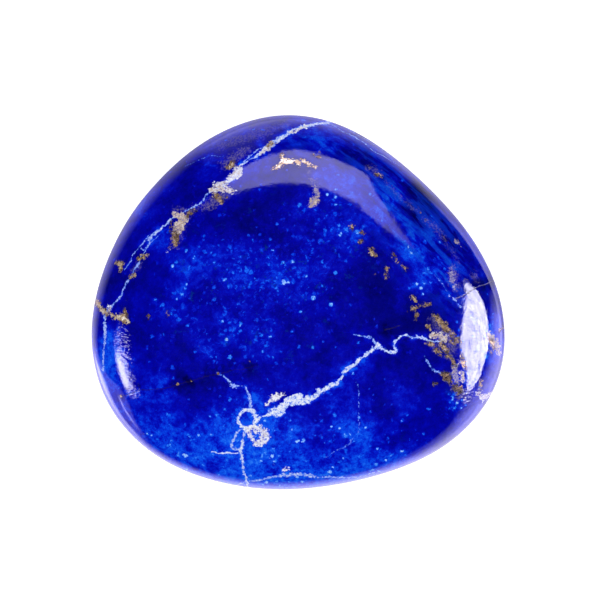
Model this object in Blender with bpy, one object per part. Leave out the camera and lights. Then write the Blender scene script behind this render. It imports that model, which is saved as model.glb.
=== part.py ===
"""Tumbled lapis lazuli: one polished stone that rests on a small flat spot.

Lengths are in metres and +Z is up. The origin is the middle of the stone's
footprint, at the height of the surface that it rests on.
"""

import math

import bmesh
import bpy
import numpy as np

MM = 0.001

# Outline from above: distance from the middle to the edge, every 30 degrees
# counter-clockwise from +X
OUTLINE_RADII = (
    15.75 * MM, 13.80 * MM, 13.55 * MM, 14.50 * MM, 14.45 * MM, 14.60 * MM,
    15.85 * MM, 16.80 * MM, 15.70 * MM, 14.65 * MM, 15.20 * MM, 16.65 * MM,
)
TOP_HEIGHT = 11.90 * MM      # top of the crown
GIRDLE_HEIGHT = 6.20 * MM    # mean height of the girdle, the widest line round the stone
BELLY_CUT = 0.22 * MM        # depth of round belly that the flat spot takes away
BELLY_FULLNESS = 0.75        # below 1, the belly stays wide further down than an ellipse

# The girdle is not level: it is higher towards +X and towards -Y, and it rises
# and falls twice on its way round
GIRDLE_LEAN_X = 0.30 * MM
GIRDLE_LEAN_Y = -0.75 * MM
GIRDLE_ROLL = 0.30 * MM
GIRDLE_ROLL_TURN = math.radians(40)
LEAN_FADE = 3                # power of the plan fraction with which the lean fades

# Broad shallow flats that tumbling wore: turn and tilt of the middle in degrees,
# greatest depth, and half width in degrees
WORN_FLATS = (
    (20, -48, 0.32 * MM, 24),
    (105, -40, 0.28 * MM, 20),
    (170, -52, 0.30 * MM, 26),
    (235, -42, 0.34 * MM, 22),
    (305, -50, 0.26 * MM, 24),
    (130, 58, 0.10 * MM, 22),
    (345, 62, 0.10 * MM, 20),
)

SUBDIVISIONS = 5             # 20 triangles split in four, this many times less one
SHARP_ANGLE = math.radians(20)

LAPIS_BLUE = (0.001, 0.003, 0.30, 1.0)
POLISH_ROUGHNESS = 0.08


def clear_scene():
    """Remove every object that the file opened with."""
    for scene_object in list(bpy.data.objects):
        bpy.data.objects.remove(scene_object, do_unlink=True)


def outline_waves():
    """Split the outline into its mean radius and the waves round it.

    The real part of wave k scales cos(k * turn), the imaginary part
    -sin(k * turn), so that the sum passes through every outline radius.
    """
    waves = np.fft.rfft(OUTLINE_RADII) / len(OUTLINE_RADII)
    waves[1:-1] *= 2
    return waves


def wear_depth(directions):
    """Depth worn away in each direction: a bell-shaped hollow round each flat's middle."""
    depth = np.zeros(len(directions))
    for turn, tilt, greatest, half_width in WORN_FLATS:
        turn, tilt = math.radians(turn), math.radians(tilt)
        middle = (
            math.cos(tilt) * math.cos(turn),
            math.cos(tilt) * math.sin(turn),
            math.sin(tilt),
        )
        angle = np.arccos(np.clip(directions @ middle, -1, 1))
        depth += greatest * np.exp(-(angle / math.radians(half_width)) ** 2)
    return depth


def stone_points(directions):
    """Map unit directions onto the stone's surface.

    A direction's level part is the plan fraction: 1 on the girdle, 0 at the top
    and the bottom. Wave k of the outline fades as the fraction's power k, so the
    outline's bumps die out smoothly and the top and bottom have no crease. The
    height is an ellipse's arc up to the top or down to the belly. The worn flats
    then bring the surface nearer to the middle of the girdle.
    """
    turn = np.arctan2(directions[:, 1], directions[:, 0])
    level = np.hypot(directions[:, 0], directions[:, 1])
    climb = directions[:, 2]
    fraction = np.where(climb < 0, level ** BELLY_FULLNESS, level)

    radius = np.zeros_like(turn)
    for k, wave in enumerate(outline_waves()):
        radius += fraction ** k * (wave.real * np.cos(k * turn) - wave.imag * np.sin(k * turn))

    crown_rise = TOP_HEIGHT - GIRDLE_HEIGHT
    belly_drop = GIRDLE_HEIGHT + BELLY_CUT
    lean = GIRDLE_LEAN_X * np.cos(turn) + GIRDLE_LEAN_Y * np.sin(turn)
    lean += GIRDLE_ROLL * np.cos(2 * (turn - GIRDLE_ROLL_TURN))
    climb_scale = np.where(climb < 0, belly_drop, crown_rise)
    from_middle = np.column_stack((
        fraction * radius * np.cos(turn),
        fraction * radius * np.sin(turn),
        lean * level ** LEAN_FADE + climb * climb_scale,
    ))
    distance = np.linalg.norm(from_middle, axis=1)
    from_middle *= (1 - wear_depth(directions) / distance)[:, None]
    return from_middle + (0, 0, GIRDLE_HEIGHT)


def cut_flat_spot(stone):
    """Slice the belly off at the resting height and close the cut with one face."""
    geometry = stone.verts[:] + stone.edges[:] + stone.faces[:]
    cut = bmesh.ops.bisect_plane(
        stone, geom=geometry, plane_co=(0, 0, 0), plane_no=(0, 0, 1), clear_inner=True
    )
    rim = [item for item in cut["geom_cut"] if isinstance(item, bmesh.types.BMEdge)]
    bmesh.ops.contextual_create(stone, geom=rim)


def centre_footprint(stone):
    """Slide the stone sideways until the middle of its plan is at the origin."""
    places = np.array([vertex.co for vertex in stone.verts])
    middle = (places.min(axis=0) + places.max(axis=0)) / 2
    bmesh.ops.translate(stone, verts=stone.verts, vec=(-middle[0], -middle[1], 0))


def lapis_material():
    """Polished deep blue stone."""
    material = bpy.data.materials.new("polished_lapis")
    material.use_nodes = True
    surface = material.node_tree.nodes["Principled BSDF"]
    surface.inputs["Base Color"].default_value = LAPIS_BLUE
    surface.inputs["Roughness"].default_value = POLISH_ROUGHNESS
    surface.inputs["Metallic"].default_value = 0.0
    material.diffuse_color = LAPIS_BLUE
    return material


def lapis_stone():
    """The whole stone: a ball of even triangles moved onto the stone's surface."""
    stone = bmesh.new()
    bmesh.ops.create_icosphere(stone, subdivisions=SUBDIVISIONS, radius=1.0)
    directions = np.array([vertex.co.normalized() for vertex in stone.verts])
    for vertex, place in zip(stone.verts, stone_points(directions)):
        vertex.co = place
    cut_flat_spot(stone)
    centre_footprint(stone)
    bmesh.ops.recalc_face_normals(stone, faces=stone.faces)

    mesh = bpy.data.meshes.new("lapis_stone")
    stone.to_mesh(mesh)
    stone.free()
    mesh.shade_smooth()
    mesh.set_sharp_from_angle(angle=SHARP_ANGLE)
    mesh.materials.append(lapis_material())
    stone_object = bpy.data.objects.new("lapis_stone", mesh)
    bpy.context.scene.collection.objects.link(stone_object)
    return stone_object


def main():
    clear_scene()
    lapis_stone()


main()
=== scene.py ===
"""Looks of a tumbled lapis lazuli stone, with a small white studio round it."""
import math

import bpy
import numpy as np
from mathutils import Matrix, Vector


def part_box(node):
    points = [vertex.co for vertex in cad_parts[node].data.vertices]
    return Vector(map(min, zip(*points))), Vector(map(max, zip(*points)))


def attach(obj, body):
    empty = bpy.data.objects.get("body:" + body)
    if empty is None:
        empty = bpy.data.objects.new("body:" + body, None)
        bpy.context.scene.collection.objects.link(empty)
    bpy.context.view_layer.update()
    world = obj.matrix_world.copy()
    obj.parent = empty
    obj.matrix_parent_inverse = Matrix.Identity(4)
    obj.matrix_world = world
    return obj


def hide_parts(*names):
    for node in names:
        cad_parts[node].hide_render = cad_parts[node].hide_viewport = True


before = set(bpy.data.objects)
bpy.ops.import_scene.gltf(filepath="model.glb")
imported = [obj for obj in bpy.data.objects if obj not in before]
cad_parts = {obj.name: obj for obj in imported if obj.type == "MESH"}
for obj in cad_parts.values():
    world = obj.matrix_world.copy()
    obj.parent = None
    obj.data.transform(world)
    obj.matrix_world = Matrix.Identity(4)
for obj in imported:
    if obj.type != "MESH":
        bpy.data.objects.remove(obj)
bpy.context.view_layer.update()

bl_info = {
    "name": "Tumbled Lapis Stone",
    "version": (1, 0, 0),
    "blender": (4, 5, 0),
    "location": "3D View > Sidebar > Lapis",
    "description": "Makes a polished lapis lazuli pebble and the studio that it is seen in",
    "category": "Add Mesh",
}

MM = 0.001

# The stone's form, as in the solid
OUTLINE_RADII = (
    15.75 * MM, 13.80 * MM, 13.55 * MM, 14.50 * MM, 14.45 * MM, 14.60 * MM,
    15.85 * MM, 16.80 * MM, 15.70 * MM, 14.65 * MM, 15.20 * MM, 16.65 * MM,
)
TOP_HEIGHT = 11.90 * MM
GIRDLE_HEIGHT = 6.20 * MM
BELLY_CUT = 0.22 * MM
BELLY_FULLNESS = 0.75
GIRDLE_LEAN_X = 0.30 * MM
GIRDLE_LEAN_Y = -0.75 * MM
GIRDLE_ROLL = 0.30 * MM
GIRDLE_ROLL_TURN = math.radians(40)
LEAN_FADE = 3
WORN_FLATS = (
    (20, -48, 0.32 * MM, 24),
    (105, -40, 0.28 * MM, 20),
    (170, -52, 0.30 * MM, 26),
    (235, -42, 0.34 * MM, 22),
    (305, -50, 0.26 * MM, 24),
    (130, 58, 0.10 * MM, 22),
    (345, 62, 0.10 * MM, 20),
)

# The photograph: size of a pixel at the girdle, and the pixel over the form's middle
PIXEL = 0.078 * MM
MIDDLE_U = 298.0
MIDDLE_V = 300.5
PICTURE_WIDTH = 600
PICTURE_MIDDLE = 300.0
LENS = 150.0
SENSOR = 36.0
VIEW_DISTANCE = PICTURE_WIDTH * PIXEL * LENS / SENSOR

# The visible mesh: points round the stone, and rows of them down it
COLUMNS = 540
CROWN_ROWS = 108
FLANK_ROWS = 56
BASE_ROWS = 15
FLANK_END = math.radians(-66)
FLAT_EDGE = 0.16 * MM        # how softly the belly turns into the flat spot

# Slight waves that tumbling left
RIPPLE_LENGTHS = (11 * MM, 8 * MM, 6.5 * MM, 5 * MM, 4 * MM)
RIPPLE_SEED = 7

# How finely markings are worked out on the surface, and how far from their lines
UNROLL_STEPS = 361           # tilts from the top to the bottom
ROUTE_STEPS = 5              # steps of a curve from one listed point to the next
FIELD_MARGIN = 2.5 * MM
FAR = 9 * MM                 # stands for every distance past the margin

# The crown's and the belly's ovals on the mesh's map: middle and half width, as parts
# of its width, then middle and half height of both, as parts of its height
CROWN_MAP = (0.31, 0.305)
BELLY_MAP = (0.81, 0.185)
MAP_MIDDLE = 0.5
MAP_HALF_HEIGHT = 0.495

# White veins, as (pixel across, pixel down, width in pixels). A point outside the
# stone's outline lies as far down its flank.
MAIN_VEIN = (
    (258, 417.5, 2.5), (265, 415.5, 4), (272, 413, 9), (278.5, 412, 11), (283, 407, 8),
    (288, 402, 12), (296, 400.5, 14), (304, 401.5, 10), (312, 398, 7), (320.5, 391.5, 7.4),
    (330, 386.5, 5.4), (336, 384.5, 5), (339.5, 379.5, 4), (344.5, 372.5, 3.8), (353, 365, 3.8),
    (363, 357, 3.6), (372, 350.5, 4), (377.5, 346, 6), (383, 349, 3.5), (389.5, 351.3, 3),
    (396.5, 352, 4.6), (394.5, 346.5, 2.6), (396.6, 340.5, 2), (400.8, 336.4, 2),
    (406.5, 335.2, 2.2), (412, 337.5, 2.2), (419, 337, 2.2), (426, 339, 2.4), (433, 341.8, 2.6),
    (439, 340.5, 2),
)
TOP_VEIN = (
    (352, 84, 3), (344, 98, 4), (337, 112, 4.6), (328, 122, 5), (318, 123.6, 5), (309, 126, 7),
    (300, 127.5, 6.6), (288, 133.5, 6), (278, 140, 6.4), (268, 147, 7.6), (262.5, 152, 6),
    (256, 156.5, 3), (250, 160, 2), (243, 164, 3),
)
TOP_VEIN_TWIN = (
    (266, 146, 1.2), (258, 150, 1.2), (250, 156, 1.4), (244, 161.5, 1.4), (241, 167, 1.6),
)
SHOULDER_VEIN = (
    (241, 169, 4), (236, 175, 6), (228, 182, 5), (221, 187, 5), (214, 190, 3), (209.2, 192.7, 2),
    (206, 196.5, 1.4), (203.8, 199.4, 1.4), (199, 203.4, 1.6), (195.8, 205.4, 2), (187.8, 210.1, 2),
    (178, 216, 2.4), (170.4, 220.2, 2.4), (165, 226.2, 3.4), (157, 231.6, 3.8), (150.3, 238, 2.8),
)
LEFT_VEIN = (
    (151, 237, 2), (148, 245.5, 1.6), (143.6, 253.7, 1.6), (140, 260, 2.6), (136.5, 267, 3),
    (131.5, 276, 2.4), (126.2, 283.8, 2.4), (120.8, 294.6, 2.4), (115.4, 302.5, 2.6),
    (109, 308.5, 4.4), (105, 317, 5), (105.2, 330, 5), (105.2, 341, 4.4), (104, 352, 3.6),
    (102.5, 368, 2.6),
)
LEFT_SPLIT = (
    (147.6, 237.6, 2.4), (140.9, 245.6, 2), (136.2, 251, 1.8), (130.2, 260.4, 1.4), (126, 268, 1.2),
)
LEFT_BRAID = (
    (158, 231, 1.2), (149, 240, 1.4), (144, 242, 1.2), (141, 248, 1.4), (144, 250.5, 1.2),
    (147, 246.5, 1.2), (153, 241, 1.2), (158, 236, 1),
)
SOLE_RIM_VEIN = (
    (232, 486, 2), (248, 481.5, 2.4), (258.7, 480.6, 2.6), (269.5, 477.6, 3.4), (284, 475.4, 4.4),
    (298.4, 474.3, 5.2), (306.8, 475.4, 4.4), (318, 476.8, 3), (336.3, 477.4, 2.6),
    (349, 477.4, 2), (362, 476, 1.6), (378, 472, 1.2),
)
LEFT_LOOP = (
    (239.5, 430, 2), (235, 433.5, 2), (233, 439.5, 1.8), (232, 447.5, 2.6), (234.5, 449.2, 2.8),
    (240, 449.5, 2.4),
)
RING = (
    (248, 410, 4.4), (242, 412, 4.6), (238.8, 418.8, 4.2), (240.6, 425.6, 4.4),
    (246.4, 428.6, 5), (253, 426.6, 6), (256.6, 420, 5), (254.6, 412.6, 4.4), (249, 409.8, 4.4),
)
RING_ROOT = (
    (219, 373.8, 1.4), (224, 376.6, 1.8), (229.5, 381, 3.4), (233.5, 387, 4.4), (237.5, 386, 1.6),
    (243, 385.4, 1.2), (246.2, 388.5, 1.2), (249.2, 395.5, 4), (250.6, 401, 3), (250, 407, 4),
)
STEM = (
    (246, 430, 4), (244, 437, 3.8), (242.6, 444, 3.8), (240.6, 450.4, 4.4), (241.8, 456.5, 3.6),
    (243.2, 464, 2.8), (243.8, 472, 2.8), (246, 478.8, 2.8), (247.5, 486, 2.4), (249, 498, 3),
    (246, 512, 3.6), (250, 530, 3), (246, 548, 3), (251, 570, 3.4), (262, 590, 2),
)
KNOT_BRANCH = (
    (377, 345.5, 4), (373.5, 340.5, 2.4), (368.6, 336.8, 1.8), (361, 336.2, 1.4), (356, 335, 1),
)
SMALL_VEIN = (
    (425.5, 358, 1.4), (427.4, 362.5, 2), (430.4, 367.2, 2), (435, 370.4, 2), (440.6, 373.2, 2.4),
)
RIM_LINE = (
    (326, 122.5, 2), (335, 126.4, 2.2), (343.3, 131.7, 2), (351.7, 135.2, 2.4), (363, 142.2, 2.2),
    (374.2, 151.3, 2), (385.4, 157.6, 1.6), (398, 165, 1),
)
BELLY_VEIN = (
    (500, 404, 3), (514, 408, 4), (530, 420, 4), (548, 430, 3), (566, 446, 3), (590, 452, 2),
)

# Fine pale hairlines on the crown
CURL_LINE = (
    (356, 382, 0.6), (359, 394, 0.8), (359, 404, 0.8), (358.6, 416, 1.4), (359.2, 424, 1.6),
    (357.6, 434.5, 1.4), (352, 440, 3.2), (350, 444, 2), (339, 449.5, 1.2), (331, 454, 1.2),
    (324.5, 458, 0.8),
)
BLADE_WISP = (
    (436, 276, 0.6), (441, 282, 0.8), (448.6, 293, 1.4), (454, 299.5, 1.6), (460.2, 305.7, 1.2),
)
SECOND_RIM_LINE = (
    (340, 124, 1), (353, 132, 1.4), (366, 139.5, 1.8), (377, 146.5, 1.4), (390, 155, 1),
)
SHOULDER_LINE = (
    (186, 166, 1), (194, 162, 1.2), (202, 158.6, 1.4), (213, 155.6, 1.2), (222, 156, 0.8),
)
LOWER_LINE = (
    (262, 445, 0.8), (268, 456, 1), (276, 466, 0.8),
)
GLINT_LINE = (
    (214, 452.4, 1.4), (222, 453, 2.6), (230, 453.2, 2.2), (236, 453.2, 1.4),
)

# Dark hairline cracks
LONG_CRACK = (
    (122, 396, 0.9), (133, 393, 1), (141, 390, 1), (152, 389.4, 1), (165, 388.8, 1),
    (177.7, 384.1, 1), (191.1, 380.7, 1), (203.8, 377, 1), (218.3, 373.7, 1), (232, 370.4, 0.9),
    (245.4, 368.6, 0.8), (254, 366, 0.6),
)
BLADE_CRACK = (
    (458, 298, 0.6), (466, 294.2, 1.1), (472, 290.4, 1.1), (478, 287.2, 1), (489, 283, 1),
    (499, 279, 1.2), (512, 274, 1.2), (536, 268, 1), (560, 266, 0.8),
)
FAINT_CRACK = (
    (386.8, 329.3, 0.9), (390, 328.8, 1.4), (393.8, 327.6, 1), (398, 326.2, 0.8),
)

# Each layer's lines with their strength, from 0 for the faintest. Lines that touch are
# in different layers.
VEIN_LAYERS = {
    "vein_1": (
        (MAIN_VEIN, 0.72), (TOP_VEIN, 0.6), (SHOULDER_VEIN, 0.45), (SOLE_RIM_VEIN, 0.35),
        (LEFT_LOOP, 0.5),
    ),
    "vein_2": (
        (RING, 0.75), (KNOT_BRANCH, 0.3), (SMALL_VEIN, 0.1), (RIM_LINE, 0.2), (LEFT_VEIN, 0.3),
        (BELLY_VEIN, 0.8),
    ),
    "vein_3": ((STEM, 0.65), (RING_ROOT, 0.35), (TOP_VEIN_TWIN, 0.3), (LEFT_SPLIT, 0.3)),
    "hairline": (
        (CURL_LINE, 0.0), (SECOND_RIM_LINE, 0.15), (BLADE_WISP, 0.1), (SHOULDER_LINE, 0.0),
        (LOWER_LINE, 0.0), (GLINT_LINE, 0.9), (LEFT_BRAID, 0.15),
    ),
    "crack": ((LONG_CRACK, 0.6), (BLADE_CRACK, 1.0), (FAINT_CRACK, 0.8)),
}
WHITE_LAYERS = ("vein_1", "vein_2", "vein_3", "hairline")

# Patches of brassy grains: brightness, which partly paints highlights where the grains
# catch the light, then the points of a stroke, as (pixel across, pixel down, half width in pixels)
BRASS_PATCHES = (
    (0.9, (273.5, 169, 1.4), (277, 167.4, 2.2), (281, 164.6, 2.6)),
    (1.0, (282, 157.6, 1.6), (284, 161.4, 3.6), (289, 161.6, 3.4), (294, 160.6, 2.4)),
    (0.9, (295, 161, 1.6), (298, 162.5, 2), (299, 165.6, 1.4)),
    (0.7, (301, 159.6, 1.4), (305, 162.4, 1.8), (310, 164.8, 1.5), (315, 166.8, 1.5)),
    (0.6, (281.6, 154.6, 1.2), (283, 155, 1.2)),
    (0.4, (314.5, 154.8, 1.1), (318, 156.6, 1.4), (321, 158, 1)),
    (0.5, (229, 167, 2.8), (232, 164, 3.6)),
    (0.6, (268, 145.8, 1.4), (271, 143.2, 2.2)),
    (0.5, (215, 195, 2.6), (219, 198.6, 2.4), (222, 203, 1.2)),
    (0.3, (171, 221, 1.2), (171.6, 229, 1.6), (173.6, 238, 2), (176, 244, 2.6), (170, 247, 1)),
    (0.25, (176, 233, 1.6), (177.6, 239, 2)),
    (0.3, (187, 216, 1.2), (190, 213, 2)),
    (0.25, (192, 211.5, 1), (196, 209.6, 1)),
    (0.5, (138, 258.5, 1.6), (143, 257.4, 2.8), (147, 255.6, 1.4)),
    (0.5, (116, 262.6, 2), (121.4, 264.6, 3.8), (120, 270, 2)),
    (0.5, (131, 277, 2), (134.5, 274.5, 1.4)),
    (0.65, (94, 299, 2.6), (98, 304, 3), (102.5, 310, 2.8), (109, 314.5, 1.8), (116, 317, 2.6)),
    (0.75, (116, 317, 2.6), (123.6, 319, 4.4), (128, 322.4, 2)),
    (0.45, (124.6, 310, 1.6), (124.8, 316, 2.6)),
    (0.65, (40, 282, 2.6), (62, 292, 3), (80, 296, 3.4), (94, 299, 3)),
    (0.45, (352.6, 227.5, 2.2), (351, 225.4, 1.4)),
    (0.35, (361.6, 232.2, 1.4), (364.5, 234.6, 0.8)),
    (0.3, (361, 242, 1.6), (363, 240.4, 0.8)),
    (0.4, (370.6, 249.5, 2.4), (373, 254, 2.6), (376, 256.5, 1.2)),
    (0.4, (392.5, 253.5, 0.9), (395, 258, 1.2), (398, 262.5, 1.3)),
    (0.4, (401, 264.6, 1.2), (405.6, 268.6, 1.6)),
    (0.35, (386.8, 267.6, 1.1), (386.6, 277, 1.4)),
    (0.6, (377, 174, 2.4), (380.6, 175.6, 1.6)),
    (0.55, (412.5, 297.6, 2.2), (415, 300, 1.6)),
    (0.35, (413.6, 308, 2.4), (421.9, 305.6, 0.9), (430, 303, 1.6)),
    (0.2, (416.6, 315, 1.6), (415, 319, 1.2)),
    (0.35, (428.4, 326.6, 2.4), (430.5, 329, 1.6)),
    (0.2, (433, 314.6, 1.8), (437, 318.6, 3.4), (442, 323, 2.8), (446.5, 328.5, 3.6), (450, 332, 2)),
    (0.1, (452, 334.5, 1.8), (456.5, 338.5, 1.6), (461, 343, 1.6)),
    (0.3, (430, 343, 1.9), (433, 344, 1.2)),
    (0.15, (440.6, 343, 2.2), (444, 347, 3.2), (448, 351, 2.2)),
    (0.1, (451, 341, 2), (454.6, 346, 2)),
    (0.3, (436, 350.3, 1.9), (441, 354, 1.6)),
    (0.0, (447, 356, 1.6), (452, 358.6, 2), (454, 364.6, 2.8)),
    (0.3, (461, 357.6, 1.8), (463.6, 363, 1.8), (465.4, 367.6, 1.2)),
    (0.0, (442.5, 373.6, 2.6), (447, 377, 4.4), (450, 382, 2.2)),
    (0.1, (434.5, 383, 2), (437, 383.5, 1.2)),
    (0.0, (455.6, 387.6, 4), (459.6, 390.6, 4)),
    (0.4, (489.5, 339.6, 1.8), (492, 343, 2.6), (493.6, 347, 1.6)),
    (0.2, (490.4, 351.2, 1.6), (491, 353, 1)),
    (0.35, (480.6, 381.5, 1.9), (480.4, 386.5, 2.2)),
    (0.5, (510, 345, 3.2), (522, 352, 4), (536, 350, 2.4)),
    (0.4, (500, 330, 1.6), (512, 322, 3), (530, 318, 2.6)),
    (0.25, (167.6, 312.6, 1.2), (168, 315.5, 1)),
    (0.2, (148.2, 315.5, 1.1), (148.6, 318.5, 0.8)),
    (0.6, (300, 80, 3), (312, 70, 4), (322, 66, 2.4)),
    (0.5, (180, 520, 3), (196, 530, 5), (206, 545, 3)),
    (0.6, (420, 520, 2.4), (436, 512, 4), (450, 515, 2.6)),
)

# Single brassy grains and single pale grains: (pixel across, pixel down, radius in pixels)
BRASS_GRAINS = (
    (121, 396, 1.7), (177.7, 384.1, 1.7), (191.1, 380.7, 1.2), (218.3, 373.6, 1.8),
    (319.6, 152, 1.3), (407.9, 311.7, 1), (374.9, 274.1, 1),
    (226.8, 197.4, 1.5), (425.6, 219.6, 1), (420.5, 212.6, 1.1),
    (440, 346, 1.2), (448.6, 356, 1.3), (425.4, 343.6, 1.3), (435, 334, 1.1),
    (250, 361, 0.9), (144, 434, 0.9), (199, 346, 0.8),
)
PALE_GRAINS = (
    (277, 224, 1.7), (270.4, 239.3, 1.6), (260, 234.5, 1.7), (335.4, 272.8, 2),
    (313.2, 298, 2.4), (331, 304.4, 2.1), (380, 292.4, 1.3), (374, 319, 1.3), (322, 286, 1.3),
    (335.4, 347, 1.3), (300.6, 311.6, 1.6), (402.2, 180.8, 1.4), (432, 204, 1.3), (440, 242, 1.3),
    (401.6, 421.6, 1.4), (370.6, 411.6, 1.2), (365.6, 427.6, 1.2), (388, 438, 1.3),
    (331.6, 426.6, 1.4), (339.6, 428, 1.2), (377.4, 448.6, 1.6), (343.2, 458.4, 1.2),
    (369.4, 389, 1.1), (373.4, 394.6, 1.1), (186.4, 250.4, 1.6),
    (172.6, 265.8, 1.9), (176.8, 299, 1.4), (186.4, 284, 1.2),
    (222.4, 321.4, 1.4), (187.4, 325.6, 1.7), (226.6, 339.4, 1.9), (195, 352, 1.4),
    (292, 331.4, 1.4), (240.4, 331, 1.6), (370, 194.2, 1.4), (335.6, 197, 1.5), (327.4, 194.2, 1.3),
    (240.7, 186.3, 1.3), (315.4, 435.4, 1.2), (322, 437.6, 1.2), (407.4, 415, 1.1),
    (220, 396.6, 1.3), (147.4, 434, 1.3), (151.6, 435.4, 1.1), (210, 416.4, 1.3),
    (359, 417.7, 1.4), (378.6, 272, 1.2),
    (449, 394, 1.2), (453, 399, 1.5), (457, 403, 1.7), (462, 400, 1.5), (455, 408, 1.3),
    (466, 405, 1.5), (460, 396, 1.2), (450, 402, 1.2), (461, 408, 1.2), (417, 284, 1.4),
    (421, 288, 1.6), (423, 294, 1.3), (457, 322, 1.3), (459, 330, 1.5), (458, 336, 1.2),
    (461, 350, 1.3),
)
GRAIN_LAYERS = {"brass_grain": BRASS_GRAINS, "pale_grain": PALE_GRAINS}

# Creamy calcite patches, given as the brassy ones are
CREAM_PATCHES = (
    (0.74, (239, 168, 3.4), (236.4, 174, 5.4), (230, 178, 3)),
    (0.72, (216, 185, 2.8), (222, 184, 3.8), (226, 183, 2)),
    (0.6, (212, 190, 3), (221, 188, 3.4), (230, 190.6, 3), (234, 191.6, 1)),
    (0.12, (314.5, 185.5, 1.2), (315.6, 190, 2), (317, 195, 3)),
    (0.3, (315, 200, 4), (311, 204.4, 3.6)),
    (0.42, (175, 214, 2.6), (181, 216.6, 4.6), (182, 222, 6), (178, 229, 5.4), (176, 237, 3.6)),
    (
        0.8, (248, 429, 2.8), (255, 427, 3), (263, 430, 3.2), (266, 436, 3.4), (263, 442, 3.6),
        (257, 444, 2.6),
    ),
    (0.8, (248, 429, 2.8), (249.6, 435, 2), (253, 440, 2.2), (257, 444, 2.6)),
    (0.72, (255, 432, 1.2), (260, 436, 1.4)),
    (0.86, (266.4, 404, 1.6), (271, 399.6, 2.6), (277, 396.4, 3), (283, 394, 1.4)),
    (0.5, (432, 336, 2.4), (438.4, 336, 3.6), (445, 339, 3.4)),
    (0.10, (456, 366, 2), (455, 373, 3), (457, 380, 2.6)),
    (0.4, (462, 372, 1.4), (463, 380, 1.6)),
    (0.4, (489, 334, 2.4), (495.4, 343, 4.6), (499, 352, 4)),
    # This pale spot at the lower right edge is partly painted reflection
    (0.62, (478, 393, 2), (484, 397, 3.6), (491, 394, 3)),
    (0.15, (456.6, 242, 2.2), (458.4, 243.4, 1.8)),
    (0.0, (452, 271, 1.6), (451.6, 279, 2.6), (454.6, 286, 1.4)),
    (0.85, (166.4, 250.4, 1.4), (168.4, 250, 1)),
    (0.7, (109, 308.6, 2.6), (107, 313.5, 2)),
    (0.80, (287, 468.4, 1.6), (283, 470.4, 1.0)),
    (0.7, (306, 126, 2), (300, 128.4, 2.2), (290, 133, 1.8)),
    (0.62, (274, 143.4, 2), (267, 148.4, 2.8), (261, 153, 1.6)),
)

# Brownish lilac haze, partly a tint of the stone and partly painted reflection of the dim
# room on the upper left shoulder: strength, then the points of a stroke, given the same way
HAZE_AND_REFLECTION_PATCHES = (
    (0.8, (204, 208, 3), (212, 203, 5), (222, 196, 5)),
    (0.7, (226, 164, 5), (234, 158, 6), (246, 150, 4)),
    (0.35, (222, 146, 5), (240, 139, 7), (262, 133, 7), (286, 125, 5)),
    (0.8, (473.6, 276, 2.4), (477, 279, 1.6)),
    (0.9, (459, 396, 3), (465, 395, 4.6)),
    (0.7, (433, 320, 3), (440, 330, 5), (448, 341, 5), (452, 350, 4)),
    (0.7, (370, 168, 3), (376, 173.4, 4)),
    (0.7, (139, 264, 2.4), (134, 271, 2.6)),
    (0.6, (316, 186, 1.4), (313, 178, 1.2), (310, 172, 1)),
    (0.7, (176, 210, 2.4), (186, 212, 2.4), (198, 207, 2.4)),
    (0.7, (184, 221, 4), (178, 236, 3), (176, 246, 2)),
    (0.5, (440, 341, 6), (436, 346, 4)),
    (0.9, (453, 270, 3.4), (452.4, 279, 4.4), (456, 288, 2.6)),
    (0.4, (386, 182, 0.8), (400, 197, 1), (418, 212, 1.2)),
    (0.6, (425, 219, 1), (436, 228, 2), (445, 240, 1.6)),
    (0.3, (445, 240, 1), (453, 252, 0.8), (459, 262, 0.6)),
)
PATCH_LAYERS = {"brass": BRASS_PATCHES, "cream": CREAM_PATCHES, "haze": HAZE_AND_REFLECTION_PATCHES}

# Clouds of paler (above 0) and darker (below 0) blue: pixel across, pixel down,
# radius in pixels and strength. The pale clouds along the lower and left edge are partly
# painted light on the flank
CLOUDS_AND_EDGE_LIGHT = (
    (150, 425, 42, 0.16), (200, 455, 44, 0.22), (250, 465, 40, 0.22), (118, 368, 18, 0.18),
    (300, 480, 38, 0.32), (350, 476, 34, 0.28), (395, 466, 26, 0.20), (270, 440, 34, 0.06),
    (302, 436, 14, 0.10), (240, 395, 26, 0.12), (335, 395, 26, 0.05), (350, 438, 40, 0.06),
    (330, 140, 26, 0.16), (365, 158, 20, 0.06), (395, 205, 20, 0.14), (420, 245, 26, 0.18),
    (445, 265, 26, 0.14), (365, 205, 18, 0.12), (160, 205, 26, 0.04), (208, 160, 15, 0.18),
    (378, 220, 16, 0.12), (405, 248, 18, 0.12), (480, 345, 26, 0.12), (465, 375, 18, 0.12),
    (420, 288, 12, 0.18), (445, 300, 16, 0.12), (450, 322, 12, 0.08), (345, 182, 14, 0.12),
    (108, 345, 18, 0.20), (455, 402, 12, 0.14), (112, 395, 16, 0.12), (215, 255, 40, 0.03),
    (190, 384, 28, -0.12), (270, 205, 34, -0.10), (222, 215, 22, -0.14), (250, 345, 24, 0.03),
    (118, 288, 18, -0.22), (140, 262, 14, -0.12), (405, 302, 40, -0.12), (385, 265, 30, -0.08),
    (385, 325, 34, -0.08), (415, 400, 40, -0.05), (250, 362, 26, -0.08), (295, 372, 30, -0.07),
    (418, 190, 12, -0.30), (430, 204, 12, -0.22), (408, 208, 9, -0.26), (417, 220, 9, -0.26),
    (443, 222, 10, -0.16), (455, 240, 9, -0.18), (175, 195, 20, -0.14), (190, 222, 16, -0.12),
    (232, 150, 22, -0.16), (180, 172, 14, -0.10), (348, 156, 12, -0.14), (368, 166, 10, -0.12),
    (280, 168, 34, -0.14),
    (428, 316, 24, -0.12), (440, 355, 24, -0.14), (475, 300, 12, -0.08), (470, 265, 12, -0.10),
    (340, 320, 30, -0.05), (140, 330, 24, -0.05), (462, 430, 20, -0.06), (300, 136, 12, -0.06),
    (105, 285, 12, -0.10), (262, 150, 10, 0.08), (150, 290, 14, -0.10),
)
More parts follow.
